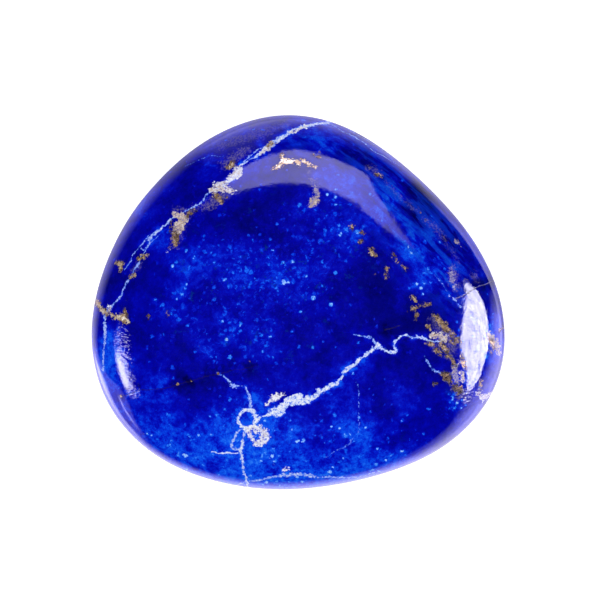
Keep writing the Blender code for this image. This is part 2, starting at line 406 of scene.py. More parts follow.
# Where the small pale grains crowd, given as the clouds are
SPECKLED = (
    (250, 250, 52, 0.34), (215, 285, 46, 0.38), (290, 285, 46, 0.36), (310, 235, 36, 0.30),
    (250, 330, 40, 0.32), (345, 275, 34, 0.24), (195, 320, 34, 0.30), (270, 450, 40, 0.10),
    (330, 440, 40, 0.10), (190, 440, 34, 0.12), (385, 440, 34, 0.08), (160, 440, 24, 0.10),
    (350, 225, 26, 0.22), (455, 402, 12, 0.80), (480, 305, 20, 0.50), (400, 230, 22, 0.06),
    (230, 410, 20, 0.20), (300, 330, 30, 0.14), (150, 330, 20, 0.20), (425, 290, 14, 0.50),
    (487, 320, 14, 0.40),
)
# Where long streaks follow the upper right edge, and where the polish is scuffed
STREAKED = (
    (400, 190, 34, 0.9), (430, 235, 34, 1.0), (455, 275, 26, 0.8), (360, 150, 30, 0.8),
    (300, 135, 24, 0.4), (475, 320, 18, 0.3),
)
SCUFFED = (
    (122, 332, 9, 1.0), (124, 345, 9, 1.0), (129, 360, 6, 0.8), (133, 376, 5, 0.6),
    (137, 391, 7, 1.0), (466, 400, 14, 0.5), (480, 416, 12, 0.4), (120, 310, 8, 0.7),
    (128, 298, 8, 0.6),
)
# Each cloudy layer, with the limit that it never passes where its clouds overlap
CLOUD_LAYERS = {
    "cloud": (CLOUDS_AND_EDGE_LIGHT, 0.35),
    "speckled": (SPECKLED, 0.8),
    "streaked": (STREAKED, 1.0),
    "scuffed": (SCUFFED, 1.0),
}


def seen_colour(red, green, blue):
    """A screen colour, 0 to 255 each, as the linear colour that shaders use.

    The screen's standard curve has a straight start and goes on as a power of 2.4.
    """
    shown = np.array((red, green, blue)) / 255
    linear = np.where(shown <= 0.04045, shown / 12.92, ((shown + 0.055) / 1.055) ** 2.4)
    return tuple(float(part) for part in linear)


class StoneForm:
    """The stone's surface as a function of turn round the upright axis and tilt above level."""

    def __init__(self, ripple):
        self.ripple = ripple
        self.waves = np.fft.rfft(OUTLINE_RADII) / len(OUTLINE_RADII)
        self.waves[1:-1] *= 2
        self.scale = np.ones(3)
        self.shift = np.zeros(3)

    def fit(self, turn, tilt, low, high):
        """Slide and stretch the form a hair, so that its grid fills the solid's box."""
        places = self.points(turn, tilt).reshape(-1, 3)
        self.scale = (high - low) / (places.max(axis=0) - places.min(axis=0))
        self.shift = low - places.min(axis=0) * self.scale

    def worn(self, directions):
        """Depth worn away: a bell-shaped hollow round each flat's middle."""
        depth = np.zeros(directions.shape[:-1])
        for turn, tilt, greatest, half_width in WORN_FLATS:
            turn, tilt = math.radians(turn), math.radians(tilt)
            middle = (
                math.cos(tilt) * math.cos(turn),
                math.cos(tilt) * math.sin(turn),
                math.sin(tilt),
            )
            angle = np.arccos(np.clip(directions @ middle, -1, 1))
            depth += greatest * np.exp(-(angle / math.radians(half_width)) ** 2)
        return depth

    def rippled(self, places):
        """Slight waves left by tumbling: a sum of sines of the place along fixed directions."""
        rng = np.random.default_rng(RIPPLE_SEED)
        height = np.zeros(places.shape[:-1])
        for length in RIPPLE_LENGTHS:
            heading = rng.normal(size=3)
            heading /= np.linalg.norm(heading)
            phase = rng.uniform(0, 2 * math.pi)
            height += np.sin(2 * math.pi / length * (places @ heading) + phase) * length
        return self.ripple * height / sum(RIPPLE_LENGTHS)

    def points(self, turn, tilt):
        """Places for arrays of turn and tilt, in radians.

        The plan is the outline's radius times the cosine of the tilt, with wave k of
        the outline faded as that cosine's power k. The height is an ellipse's arc up
        to the top and a fuller arc down to the belly, on a girdle that leans and
        rolls. Worn flats and ripples move the surface towards its middle, and the
        belly is rounded off into the flat spot at height 0.
        """
        turn, tilt = np.broadcast_arrays(turn, tilt)
        level = np.clip(np.cos(tilt), 0, 1)
        climb = np.sin(tilt)
        directions = np.stack((level * np.cos(turn), level * np.sin(turn), climb), axis=-1)
        fraction = np.where(climb < 0, level ** BELLY_FULLNESS, level)
        radius = np.zeros(turn.shape)
        for k, wave in enumerate(self.waves):
            radius += fraction ** k * (wave.real * np.cos(k * turn) - wave.imag * np.sin(k * turn))
        lean = GIRDLE_LEAN_X * np.cos(turn) + GIRDLE_LEAN_Y * np.sin(turn)
        lean += GIRDLE_ROLL * np.cos(2 * (turn - GIRDLE_ROLL_TURN))
        reach = np.where(climb < 0, GIRDLE_HEIGHT + BELLY_CUT, TOP_HEIGHT - GIRDLE_HEIGHT)
        offset = np.stack((
            fraction * radius * np.cos(turn),
            fraction * radius * np.sin(turn),
            lean * level ** LEAN_FADE + climb * reach,
        ), axis=-1)
        inward = self.worn(directions) + self.rippled(offset)
        offset *= (1 - inward / np.linalg.norm(offset, axis=-1))[..., None]
        offset[..., 2] += GIRDLE_HEIGHT
        height = offset[..., 2]
        offset[..., 2] = (height + np.sqrt(height ** 2 + FLAT_EDGE ** 2)) / 2
        return offset * self.scale + self.shift

    def middle(self):
        """The point inside the stone that the outline's radii start from."""
        return np.array((0, 0, GIRDLE_HEIGHT)) * self.scale + self.shift

    def camera_place(self):
        """Where the picture was taken from: over the pixel in the middle of the frame."""
        place = self.middle()
        place[0] += (PICTURE_MIDDLE - MIDDLE_U) * PIXEL
        place[1] += (MIDDLE_V - PICTURE_MIDDLE) * PIXEL
        place[2] += VIEW_DISTANCE
        return place

    def under(self, marks):
        """Places on the surface under pixels of the photograph.

        A mark's direction from the middle gives the turn. Down that turn, the distance
        from the middle as the camera sees it grows to the girdle, and goes on growing
        by the length of the flank below it. The mark lies where it equals the mark's own.
        """
        marks = np.asarray(marks, float)
        across = (marks[:, 0] - MIDDLE_U) * PIXEL
        up = (MIDDLE_V - marks[:, 1]) * PIXEL
        turn = np.arctan2(up, across)
        tilts = np.radians(np.linspace(90, -90, UNROLL_STEPS))
        surface = self.points(turn[:, None], tilts[None, :])
        plan = np.linalg.norm(surface[..., :2] - self.middle()[:2], axis=-1)
        nearer = VIEW_DISTANCE / (VIEW_DISTANCE - (surface[..., 2] - self.middle()[2]))
        steps = np.linalg.norm(np.diff(surface, axis=1), axis=-1)
        below = np.cumsum(np.where(tilts[1:] < 0, steps, 0), axis=1)
        girdle = int(np.argmin(np.abs(tilts)))
        seen = plan * nearer
        seen[:, girdle:] = seen[:, girdle:girdle + 1] + np.pad(below, ((0, 0), (1, 0)))[:, girdle:]
        reach = np.hypot(across, up)
        after = np.clip((seen < reach[:, None]).sum(axis=1), 1, len(tilts) - 1)
        row = np.arange(len(marks))
        share = (reach - seen[row, after - 1]) / (seen[row, after] - seen[row, after - 1])
        share = np.clip(share, 0, 1)
        tilt = tilts[after - 1] + share * (tilts[after] - tilts[after - 1])
        return self.points(turn, tilt)


def smooth_route(points, steps):
    """A curve through the points: between two of them, a cubic with the slopes of its neighbours."""
    points = np.asarray(points, float)
    padded = np.vstack((2 * points[0] - points[1], points, 2 * points[-1] - points[-2]))
    before, start, end, after = padded[:-3], padded[1:-2], padded[2:-1], padded[3:]
    t = (np.arange(steps) / steps)[:, None, None]
    curve = 0.5 * (
        2 * start + (end - before) * t
        + (2 * before - 5 * start + 4 * end - after) * t ** 2
        + (3 * start - before - 3 * end + after) * t ** 3
    )
    curve = curve.transpose(1, 0, 2).reshape(-1, points.shape[1])
    return np.vstack((curve, points[-1]))


def near_box(places, route, margin):
    """Which places are within the margin of the route's box."""
    low, high = route.min(axis=0) - margin, route.max(axis=0) + margin
    return np.nonzero(((places > low) & (places < high)).all(axis=1))[0]


def vein_field(form, places, veins):
    """For each place: signed distance to the nearest vein's side, distance, half width, strength.

    The signed distance is measured across the vein, so it passes evenly through 0 on
    the vein's line, and the plain distance tells where the line ends.
    """
    field = np.full((len(places), 4), FAR)
    field[:, 2:] = 0
    middle = form.middle()
    for route, strength in veins:
        curve = smooth_route(route, ROUTE_STEPS)
        line, half_width = form.under(curve[:, :2]), curve[:, 2] * PIXEL / 2
        close = near_box(places, line, FIELD_MARGIN)
        best = field[close]
        last = len(line) - 2
        for i in range(last + 1):
            run = line[i + 1] - line[i]
            offset = places[close] - line[i]
            t = offset @ run / (run @ run)
            held = np.clip(t, 0, 1)
            distance = np.linalg.norm(offset - held[:, None] * run, axis=1)
            sideways = np.cross(run, line[i] - middle)
            across = offset @ (sideways / np.linalg.norm(sideways))
            past = ((i == 0) & (t < 0)) | ((i == last) & (t > 1))
            side = np.where(past, across, np.sign(across) * distance)
            width = half_width[i] + held * (half_width[i + 1] - half_width[i])
            nearer = distance < best[:, 1]
            found = np.column_stack((side, distance, width, np.full(len(side), strength)))
            best[nearer] = found[nearer]
        field[close] = best
    return field


def patch_field(form, places, patches):
    """Depth inside the nearest patch, below 0 outside, and that patch's tone.

    The depth is the stroke's half width less the distance from its line.
    """
    depth = np.full(len(places), -FAR)
    tones = np.zeros(len(places))
    for tone, *strokes in patches:
        marks = np.asarray(strokes, float)
        line, half_width = form.under(marks[:, :2]), marks[:, 2] * PIXEL
        close = near_box(places, line, FIELD_MARGIN)
        for i in range(len(line) - 1):
            run = line[i + 1] - line[i]
            offset = places[close] - line[i]
            t = np.clip(offset @ run / (run @ run), 0, 1)
            distance = np.linalg.norm(offset - t[:, None] * run, axis=1)
            inside = half_width[i] + t * (half_width[i + 1] - half_width[i]) - distance
            deeper = inside > depth[close]
            depth[close[deeper]] = inside[deeper]
            tones[close[deeper]] = tone
    return depth, tones


def grain_field(form, places, grains):
    """Squared distance to the nearest grain's middle less its squared radius, in mm2.

    Squares change evenly between the mesh's points, so small grains stay round.
    """
    field = np.full(len(places), (FIELD_MARGIN / MM) ** 2)
    marks = np.asarray(grains, float)
    for place, radius in zip(form.under(marks[:, :2]), marks[:, 2] * PIXEL):
        close = near_box(places, place[None, :], FIELD_MARGIN)
        square = ((places[close] - place) ** 2).sum(axis=1) - radius ** 2
        field[close] = np.minimum(field[close], square / MM ** 2)
    return field


def cloud_field(form, places, clouds, limit):
    """Sum of soft bell-shaped clouds, bent smoothly so that it never passes the limit."""
    field = np.zeros(len(places))
    marks = np.asarray(clouds, float)
    for place, radius, strength in zip(form.under(marks[:, :2]), marks[:, 2] * PIXEL, marks[:, 3]):
        square = ((places - place) ** 2).sum(axis=1)
        field += strength * np.exp(-square / radius ** 2)
    return limit * np.tanh(field / limit)


def stone_grid():
    """Turns and tilts of the mesh's rows and columns, without the top and the bottom point."""
    turn = np.linspace(0, 2 * math.pi, COLUMNS, endpoint=False)
    crown = np.linspace(math.pi / 2, 0, CROWN_ROWS + 1)[1:]
    flank = np.linspace(0, FLANK_END, FLANK_ROWS + 1)[1:]
    base = np.linspace(FLANK_END, -math.pi / 2, BASE_ROWS + 1)[1:-1]
    tilt = np.concatenate((crown, flank, base))
    return turn, tilt


def stone_faces(rows):
    """Four-sided faces between neighbouring rows, closed round, and a fan at each end."""
    column = np.arange(COLUMNS)
    right = (column + 1) % COLUMNS
    row = np.arange(rows - 1)[:, None] * COLUMNS
    top, bottom = rows * COLUMNS, rows * COLUMNS + 1
    last = (rows - 1) * COLUMNS
    quads = np.stack((row + column, row + COLUMNS + column, row + COLUMNS + right, row + right), -1)
    crown_fan = np.column_stack((np.full(COLUMNS, top), column, right))
    base_fan = np.column_stack((np.full(COLUMNS, bottom), last + right, last + column))
    return quads.reshape(-1, 4).tolist() + crown_fan.tolist() + base_fan.tolist()


def lay_map(mesh, turn, tilt):
    """Lay the crown and the belly side by side as two ovals.

    In each oval the distance from the middle is the tilt away from straight up or
    straight down, and the angle is the turn.
    """
    corner = np.empty(len(mesh.loops), np.int32)
    mesh.loops.foreach_get("vertex_index", corner)
    starts = np.empty(len(mesh.polygons), np.int32)
    mesh.polygons.foreach_get("loop_start", starts)
    sizes = np.empty(len(mesh.polygons), np.int32)
    mesh.polygons.foreach_get("loop_total", sizes)
    face_tilt = np.add.reduceat(tilt[corner], starts) / sizes
    on_crown = np.repeat(face_tilt > 0, sizes)
    out = 1 - np.abs(tilt[corner]) / (math.pi / 2)
    middle = np.where(on_crown, CROWN_MAP[0], BELLY_MAP[0])
    half = np.where(on_crown, CROWN_MAP[1], BELLY_MAP[1])
    layer = mesh.uv_layers.new(name="OFBake")
    place = np.column_stack((
        middle + half * out * np.cos(turn[corner]),
        MAP_MIDDLE + MAP_HALF_HEIGHT * out * np.sin(turn[corner]),
    ))
    layer.uv.foreach_set("vector", place.astype(np.float32).ravel())


def store(mesh, name, values):
    """Keep one number, or three, for each point of the mesh under a name."""
    kind, part = ("FLOAT", "value") if values.ndim == 1 else ("FLOAT_VECTOR", "vector")
    layer = mesh.attributes.new(name, kind, "POINT")
    layer.data.foreach_set(part, values.astype(np.float32).ravel())


def fitted_form(ripple):
    """The stone's form, made to fill the solid's box."""
    turn_row, tilt_row = stone_grid()
    form = StoneForm(ripple)
    low, high = (np.array(corner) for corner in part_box("lapis_stone"))
    form.fit(turn_row[None, :], tilt_row[:, None], low, high)
    return form


def stone_mesh(form):
    """The stone's fine mesh with its marking fields: the form's place for each turn and tilt."""
    turn_row, tilt_row = stone_grid()
    turn = np.append(np.tile(turn_row, len(tilt_row)), (0, 0))
    tilt = np.append(np.repeat(tilt_row, COLUMNS), (math.pi / 2, -math.pi / 2))
    places = form.points(turn, tilt)
    mesh = bpy.data.meshes.new("polished_stone")
    mesh.from_pydata(places, [], stone_faces(len(tilt_row)))
    mesh.shade_smooth()
    lay_map(mesh, turn, tilt)

    for name, veins in VEIN_LAYERS.items():
        field = vein_field(form, places, veins)
        store(mesh, name, field[:, :3] / MM)
        store(mesh, name + "_strength", field[:, 3])
    for name, patches in PATCH_LAYERS.items():
        depth, tone = patch_field(form, places, patches)
        store(mesh, name, depth / MM)
        store(mesh, name + "_tone", tone)
    for name, grains in GRAIN_LAYERS.items():
        store(mesh, name, grain_field(form, places, grains))
    for name, (clouds, limit) in CLOUD_LAYERS.items():
        store(mesh, name, cloud_field(form, places, clouds, limit))
    return mesh


# Noise stays within about a seventh of its middle, so this factor makes that 1
NOISE_STRETCH = 7.0


class Recipe:
    """Adds the nodes of one material and joins them, with a short word for each kind."""

    def __init__(self, name):
        self.material = bpy.data.materials.new(name)
        self.material.use_nodes = True
        self.tree = self.material.node_tree
        self.surface = self.tree.nodes["Principled BSDF"]

    def node(self, kind, **settings):
        """A new node with the given settings."""
        node = self.tree.nodes.new(kind)
        for name, value in settings.items():
            setattr(node, name, value)
        return node

    def feed(self, socket, value):
        """Join an output to the socket, or set the socket to a plain number or colour."""
        if isinstance(value, bpy.types.NodeSocket):
            self.tree.links.new(value, socket)
        elif socket.type == "RGBA":
            socket.default_value = (*value, 1)
        else:
            socket.default_value = value

    def math(self, operation, *values, clamp=False):
        """One sum of numbers."""
        node = self.node("ShaderNodeMath", operation=operation, use_clamp=clamp)
        for socket, value in zip(node.inputs, values):
            self.feed(socket, value)
        return node.outputs[0]

    def add(self, *values):
        """Numbers added up."""
        total = values[0]
        for value in values[1:]:
            total = self.math("ADD", total, value)
        return total

    def scaled(self, value, factor, offset=0.0):
        """The value times a factor, plus an offset."""
        return self.math("MULTIPLY_ADD", value, factor, offset)

    def product(self, *values):
        """Numbers multiplied together."""
        total = values[0]
        for value in values[1:]:
            total = self.math("MULTIPLY", total, value)
        return total

    def rise(self, value, start, end, bottom=0.0, top=1.0):
        """A smooth step from bottom at the start to top at the end."""
        node = self.node("ShaderNodeMapRange", interpolation_type="SMOOTHSTEP")
        for socket, part in zip(node.inputs, (value, start, end, bottom, top)):
            self.feed(socket, part)
        return node.outputs[0]

    def mix(self, factor, first, second):
        """The first colour turning into the second as the factor grows."""
        node = self.node("ShaderNodeMix", data_type="RGBA")
        self.feed(node.inputs[0], factor)
        self.feed(node.inputs[6], first)
        self.feed(node.inputs[7], second)
        return node.outputs[2]

    def ramp(self, factor, colours, **levels):
        """The named colours, each at its own level of the factor, and their mixtures between."""
        node = self.node("ShaderNodeValToRGB")
        band = node.color_ramp
        while len(band.elements) < len(levels):
            band.elements.new(0.5)
        for element, (name, level) in zip(band.elements, levels.items()):
            element.position = level
            element.color = (*getattr(colours, name), 1)
        self.feed(node.inputs[0], factor)
        return node.outputs[0]

    def noise(self, place, scale, detail=3.0, roughness=0.6, part=0):
        """Cloudy noise with about one blob for each 1 / scale mm. Part 1 gives three at once."""
        node = self.node("ShaderNodeTexNoise")
        self.feed(node.inputs["Vector"], place)
        node.inputs["Scale"].default_value = scale
        node.inputs["Detail"].default_value = detail
        node.inputs["Roughness"].default_value = roughness
        return node.outputs[part]

    def sway(self, place, scale, detail=3.0, roughness=0.6):
        """Cloudy noise about 0, nearly all of it between -1 and 1."""
        cloudy = self.noise(place, scale, detail, roughness)
        return self.scaled(cloudy, NOISE_STRETCH, -NOISE_STRETCH / 2)

    def cells(self, place, scale):
        """Cells of about 1 / scale mm: distance from the nearest middle, and three chances."""
        node = self.node("ShaderNodeTexVoronoi")
        self.feed(node.inputs["Vector"], place)
        node.inputs["Scale"].default_value = scale
        distance = self.math("DIVIDE", node.outputs["Distance"], scale)
        return distance, self.parts(node.outputs["Color"])

    def parts(self, value):
        """The three numbers of a vector or a colour."""
        node = self.node("ShaderNodeSeparateXYZ")
        self.feed(node.inputs[0], value)
        return node.outputs[:]

    def stored(self, name, part="Fac"):
        """A field kept on the mesh."""
        return self.node("ShaderNodeAttribute", attribute_name=name).outputs[part]

    def place(self, turn=0.0, length=1.0, width=1.0):
        """Place on the stone in mm, or drawn out along a level direction by length over width."""
        where = self.node("ShaderNodeTexCoord").outputs["Object"]
        node = self.node("ShaderNodeMapping", vector_type="TEXTURE")
        self.feed(node.inputs["Vector"], where)
        node.inputs["Rotation"].default_value = (0, 0, turn)
        node.inputs["Scale"].default_value = (length * MM, width * MM, width * MM)
        return node.outputs[0]

    def shifted(self, place, scale, reach):
        """The place moved about by cloudy noise.

        Besides an even shift of the whole, it moves nearly always by less than the reach.
        """
        stretch = reach * NOISE_STRETCH
        drift = self.node("ShaderNodeVectorMath", operation="MULTIPLY_ADD")
        self.feed(drift.inputs[0], self.noise(place, scale, part=1))
        drift.inputs[1].default_value = (stretch, stretch, stretch)
        self.feed(drift.inputs[2], place)
        return drift.outputs[0]


# Round pale grains: radius in mm of the smallest, what the largest have more, softness
# of their edges in mm, light of the dimmest, and how many cells have one, at least and
# more where the stone is speckled
GRAIN_RADIUS = 0.09
GRAIN_SPREAD = 0.10
GRAIN_SOFTNESS = 0.05
GRAIN_DIMMEST = 0.42
GRAINS_ANYWHERE = 0.04
GRAINS_WHERE_SPECKLED = 1.25

# Flecks: the height of noise that they start at, how much more makes them full, and
# what speckled rock adds to the height
FLECK_START = 1.15
FLECK_SOFTNESS = 0.40
FLECK_CROWDING = 0.75

# What each part adds to the level of the blue, which is 0 in the darkest rock and 1 in
# the brightest grains
LEVEL_MIDDLE = 0.475
LEVEL_LIMIT = 0.74           # of all but the fine parts
BROAD_SWING = 0.11
PATCHY_SWING = 0.06
STREAK_SWING = 0.30
NETWORK_LIFT = 0.16
SEAM_DROP = 0.10
FELT_SWING = 0.052
FELT_SWING_IN_CLOUDS = 0.22
DUST_SWING = 0.025
FLECK_LIFT = 0.10
SMALL_FLECK_LIFT = 0.08
GRAIN_LIFT = 0.42

# The streaks along the upper right edge: their direction, and their size in mm
STREAK_TURN = math.radians(-43)
STREAK_LENGTH = 4.2
STREAK_WIDTH = 0.75

# How fully each colour covers what lies under it
STREAK_COVER = 0.8
SMOKE_COVER = 1.1
CRACK_COVER = 0.85
HAZE_COVER = 0.72
CREAM_COVER = 0.93
SURROUND_COVER = 0.45
BRASS_COVER = 0.95


def bright_grains(recipe, place, speckled):
    """Round grains, one in some of the cells.

    The radius grows with the square of one chance and the light with the fourth power
    of another, so most of them are small and dim.
    """
    loose = recipe.shifted(place, scale=4.0, reach=0.08)
    distance, (size, there, bright) = recipe.cells(loose, scale=2.5)
    radius = recipe.scaled(recipe.math("POWER", size, 2.0), GRAIN_SPREAD, GRAIN_RADIUS)
    depth = recipe.math("SUBTRACT", radius, distance)
    density = recipe.scaled(speckled, GRAINS_WHERE_SPECKLED, GRAINS_ANYWHERE)
    return recipe.product(
        recipe.rise(depth, -GRAIN_SOFTNESS, GRAIN_SOFTNESS),
        recipe.math("LESS_THAN", there, density),
        recipe.scaled(recipe.math("POWER", bright, 4.0), 1 - GRAIN_DIMMEST, GRAIN_DIMMEST),
    )


def flecks(recipe, place, speckled, scale):
    """Ragged blobs where a noise is high, more of them where the stone is speckled."""
    height = recipe.add(
        recipe.sway(place, scale, detail=2), recipe.scaled(speckled, FLECK_CROWDING)
    )
    return recipe.rise(height, FLECK_START, FLECK_START + FLECK_SOFTNESS)


def lines_where_zero(recipe, value, reach):
    """Thin lines along the places where the value is 0, gone where it is past the reach."""
    return recipe.rise(recipe.math("ABSOLUTE", value), reach, 0.0)


def blue_ground(recipe, place, colours, lift):
    """Cloudy deep blue rock: one level, read off a scale of blues.

    The level is smooth broad noise and fine grain, plus the listed clouds, partly painted
    light along the lower and left edge, streaks along its upper right edge, dark seams,
    flecks and grains, and the lift that veins and cracks give.
    """
    swirled = recipe.shifted(place, scale=0.5, reach=0.6)
    broad = recipe.sway(swirled, scale=0.34, detail=3, roughness=0.5)
    curled = recipe.shifted(place, scale=1.0, reach=0.3)
    patchy = recipe.sway(curled, scale=0.9, detail=2)
    felt = recipe.sway(place, scale=2.3, detail=4, roughness=0.75)
    dust = recipe.sway(place, scale=8.0, detail=2)

    bent = recipe.shifted(place, scale=1.2, reach=0.35)
    seam_noise = recipe.sway(bent, scale=0.42, detail=3, roughness=0.5)
    seams = recipe.product(
        lines_where_zero(recipe, seam_noise, reach=0.09), recipe.rise(felt, -0.6, 0.6)
    )
    # Pale clouds along the lower and left edge are partly painted light
    cloud = recipe.stored("cloud")
    pale_cloud = recipe.math("MAXIMUM", cloud, 0.0)
    network = recipe.product(lines_where_zero(recipe, felt, reach=0.25), pale_cloud)

    streak_place = recipe.place(STREAK_TURN, STREAK_LENGTH, STREAK_WIDTH)
    frayed_streaks = recipe.shifted(streak_place, scale=0.5, reach=0.5)
    streaks = recipe.sway(frayed_streaks, scale=1.0, detail=4)
    streaked = recipe.stored("streaked")
    speckled = recipe.stored("speckled")
    single_edge = recipe.add(recipe.stored("pale_grain"), recipe.scaled(felt, 0.006))
    singles = recipe.rise(single_edge, 0.018, -0.010)

    even = recipe.add(
        recipe.scaled(broad, BROAD_SWING, LEVEL_MIDDLE),
        recipe.scaled(patchy, PATCHY_SWING),
        cloud,
        recipe.scaled(network, NETWORK_LIFT),
        recipe.product(streaks, streaked, STREAK_SWING),
        recipe.scaled(seams, -SEAM_DROP),
        lift,
    )
    jostled = recipe.shifted(place, scale=1.5, reach=0.15)
    level = recipe.add(
        recipe.math("MINIMUM", even, LEVEL_LIMIT),
        recipe.product(felt, recipe.scaled(pale_cloud, FELT_SWING_IN_CLOUDS, FELT_SWING)),
        recipe.scaled(dust, DUST_SWING),
        recipe.scaled(flecks(recipe, jostled, speckled, scale=2.1), FLECK_LIFT),
        recipe.scaled(flecks(recipe, place, speckled, scale=3.3), SMALL_FLECK_LIFT),
        recipe.scaled(bright_grains(recipe, place, speckled), GRAIN_LIFT),
        recipe.scaled(singles, GRAIN_LIFT),
    )
    blues = recipe.ramp(
        level, colours, night_blue=0.02, navy_blue=0.25, deep_blue=0.40, royal_blue=0.50,
        bright_blue=0.60, azure=0.69, light_azure=0.79, pale_azure=0.91, ice_blue=1.00,
    )
    worn = recipe.product(recipe.rise(streaks, -0.4, 0.6), streaked, STREAK_COVER)
    blues = recipe.mix(worn, blues, colours.streak_blue)
    smudged = recipe.shifted(place, scale=2.5, reach=0.3)
    dull = recipe.rise(recipe.sway(smudged, scale=1.1, detail=2), 0.9, 1.3)
    return recipe.mix(recipe.product(dull, speckled, SMOKE_COVER), blues, colours.smoke_blue)


# Veins, in mm: how far noise moves them sideways and how deep two noises fray them,
# the half width up to which they fray less, softness of their edges, where they fade
# past their ends, how far the blue beside them is lifted, and how near it is so fully
VEIN_WOBBLE = 0.07
LACE_FRAY = 0.085
SUGAR_FRAY = 0.045
THIN_VEIN = 0.25
VEIN_SOFTNESS = 0.04
END_FADE_START = 0.12
END_FADE_STOP = 0.22
HALO_REACH = 0.65
HALO_FULL = 0.05

# Whiteness of the veins: at least, and what strength, depth in mm and grain add
WHITE_LEAST = 0.18
WHITE_BY_STRENGTH = 0.70
WHITE_BY_DEPTH = 1.2
WHITEST_DEPTH = 0.20         # mm, past which depth adds no more
WHITE_BY_GRAIN = 0.20

# Cracks, in mm, as the veins
CRACK_WOBBLE = 0.045
CRACK_FRAY = 0.02
CRACK_SOFTNESS = 0.02
CRACK_SHADE_REACH = 0.9

# How much of the white, the cream and the haze is gone in the holes
VEIN_HOLES = 0.6
CREAM_HOLES = 0.7
HAZE_HOLES = 0.6

# Brass: how far its grains reach past a patch's edge or fall short of it, and how far
# grit does, both in mm, then the width of the dark surround in mm
BRASS_RAGGED = 0.13
BRASS_GRIT = 0.03
SURROUND_WIDTH = 0.22

# Level of the brass's colour: where it starts, and what a patch's tone, a grain's
# chance and grit add. The tone and the chance also paint highlights: glints on the grains
BRASS_START = -0.14
BRASS_BY_TONE = 0.62
BRASS_GLINT_BY_CHANCE = 0.58
BRASS_BY_GRIT = 0.12
SINGLE_GRAIN_TONE = 0.7


def vein_body(recipe, name, wobble, ragged, frayed, soft):
    """Where a line shows, how deep inside it a place is in mm, its strength and the distance.

    The depth is the half width times the ragged factor, less the distance from the
    line moved sideways by the wobble. The frayed noise, in mm, eats into the edges,
    less so where the line is thin.
    """
    side, near, half_width = recipe.parts(recipe.stored(name, "Vector"))
    aside = recipe.math("ABSOLUTE", recipe.math("ADD", side, wobble))
    depth = recipe.math("SUBTRACT", recipe.product(half_width, ragged), aside)
    eaten = recipe.product(frayed, recipe.rise(half_width, 0.0, THIN_VEIN, bottom=0.3))
    depth = recipe.math("ADD", depth, eaten)
    past_end = recipe.math("SUBTRACT", near, half_width)
    body = recipe.product(
        recipe.rise(depth, -soft, soft), recipe.rise(past_end, END_FADE_STOP, END_FADE_START)
    )
    return body, depth, recipe.stored(name + "_strength"), near


def white_veins(recipe, coarse, lace, sugary, holes):
    """How white the sugary veins are, 0 to 1, and how much they lift the blue beside them.

    Whiteness grows with the vein's strength and with the depth inside it, and breaks
    up with the sugary grain and the holes.
    """
    wobble = recipe.scaled(coarse, VEIN_WOBBLE)
    ragged = recipe.scaled(coarse, 0.25, 0.78)
    frayed = recipe.add(recipe.scaled(lace, LACE_FRAY), recipe.scaled(sugary, SUGAR_FRAY))
    white, lift = 0.0, 0.0
    for name in WHITE_LAYERS:
        body, depth, strength, near = vein_body(
            recipe, name, wobble, ragged, frayed, VEIN_SOFTNESS
        )
        tone = recipe.add(
            recipe.scaled(strength, WHITE_BY_STRENGTH, WHITE_LEAST),
            recipe.scaled(recipe.math("MINIMUM", depth, WHITEST_DEPTH), WHITE_BY_DEPTH),
            recipe.scaled(sugary, WHITE_BY_GRAIN),
        )
        white = recipe.math("MAXIMUM", white, recipe.product(body, tone))
        glow = recipe.product(
            recipe.rise(near, HALO_REACH, HALO_FULL), recipe.scaled(strength, 1.1, 0.05)
        )
        lift = recipe.math("MAXIMUM", lift, glow)
    white = recipe.product(white, recipe.scaled(holes, -VEIN_HOLES, 1.0))
    return white, recipe.product(lift, recipe.rise(coarse, -0.7, 0.6))


def dark_cracks(recipe, place, coarse, lace):
    """How strongly hairline cracks show, and how much they shade the blue beside them."""
    wobble = recipe.scaled(recipe.sway(place, scale=2.2), CRACK_WOBBLE)
    frayed = recipe.scaled(lace, CRACK_FRAY)
    body, _, strength, near = vein_body(recipe, "crack", wobble, 0.9, frayed, CRACK_SOFTNESS)
    shade = recipe.product(
        recipe.rise(near, CRACK_SHADE_REACH, HALO_FULL), recipe.rise(coarse, -0.5, 0.9)
    )
    return recipe.product(body, strength), shade


def lilac_haze_and_reflection(recipe, colours, lace, sugary, holes):
    """How strongly the haze, partly painted reflection, shows, and its colour, patchy from lilac to
    tan.
    """
    edge = recipe.add(
        recipe.stored("haze"), recipe.scaled(lace, 0.16), recipe.scaled(sugary, 0.14)
    )
    haze = recipe.product(
        recipe.rise(edge, -0.24, 0.40),
        recipe.stored("haze_tone"),
        recipe.scaled(holes, -HAZE_HOLES, 1.0),
        recipe.rise(sugary, -0.9, 0.8, bottom=0.3, top=1.1),
    )
    tint = recipe.mix(recipe.rise(sugary, -0.8, 0.8), colours.haze_and_reflection_lilac, colours.haze_and_reflection_tan)
    return haze, tint


def cream_calcite(recipe, colours, lace, sugary, holes):
    """Where creamy calcite shows, with holes for the blue, and its colour."""
    edge = recipe.add(
        recipe.stored("cream"), recipe.scaled(lace, 0.11), recipe.scaled(sugary, 0.07)
    )
    cream = recipe.product(
        recipe.rise(edge, -0.05, 0.07), recipe.scaled(holes, -CREAM_HOLES, 1.0)
    )
    level = recipe.add(
        recipe.stored("cream_tone"), recipe.scaled(sugary, 0.20), recipe.scaled(lace, 0.14)
    )
    colour = recipe.ramp(
        level, colours, calcite_lilac=0.00, calcite_grey=0.14, calcite_tan=0.32,
        calcite_cream=0.54, calcite_pale=0.76, calcite_white=1.00,
    )
    return cream, colour


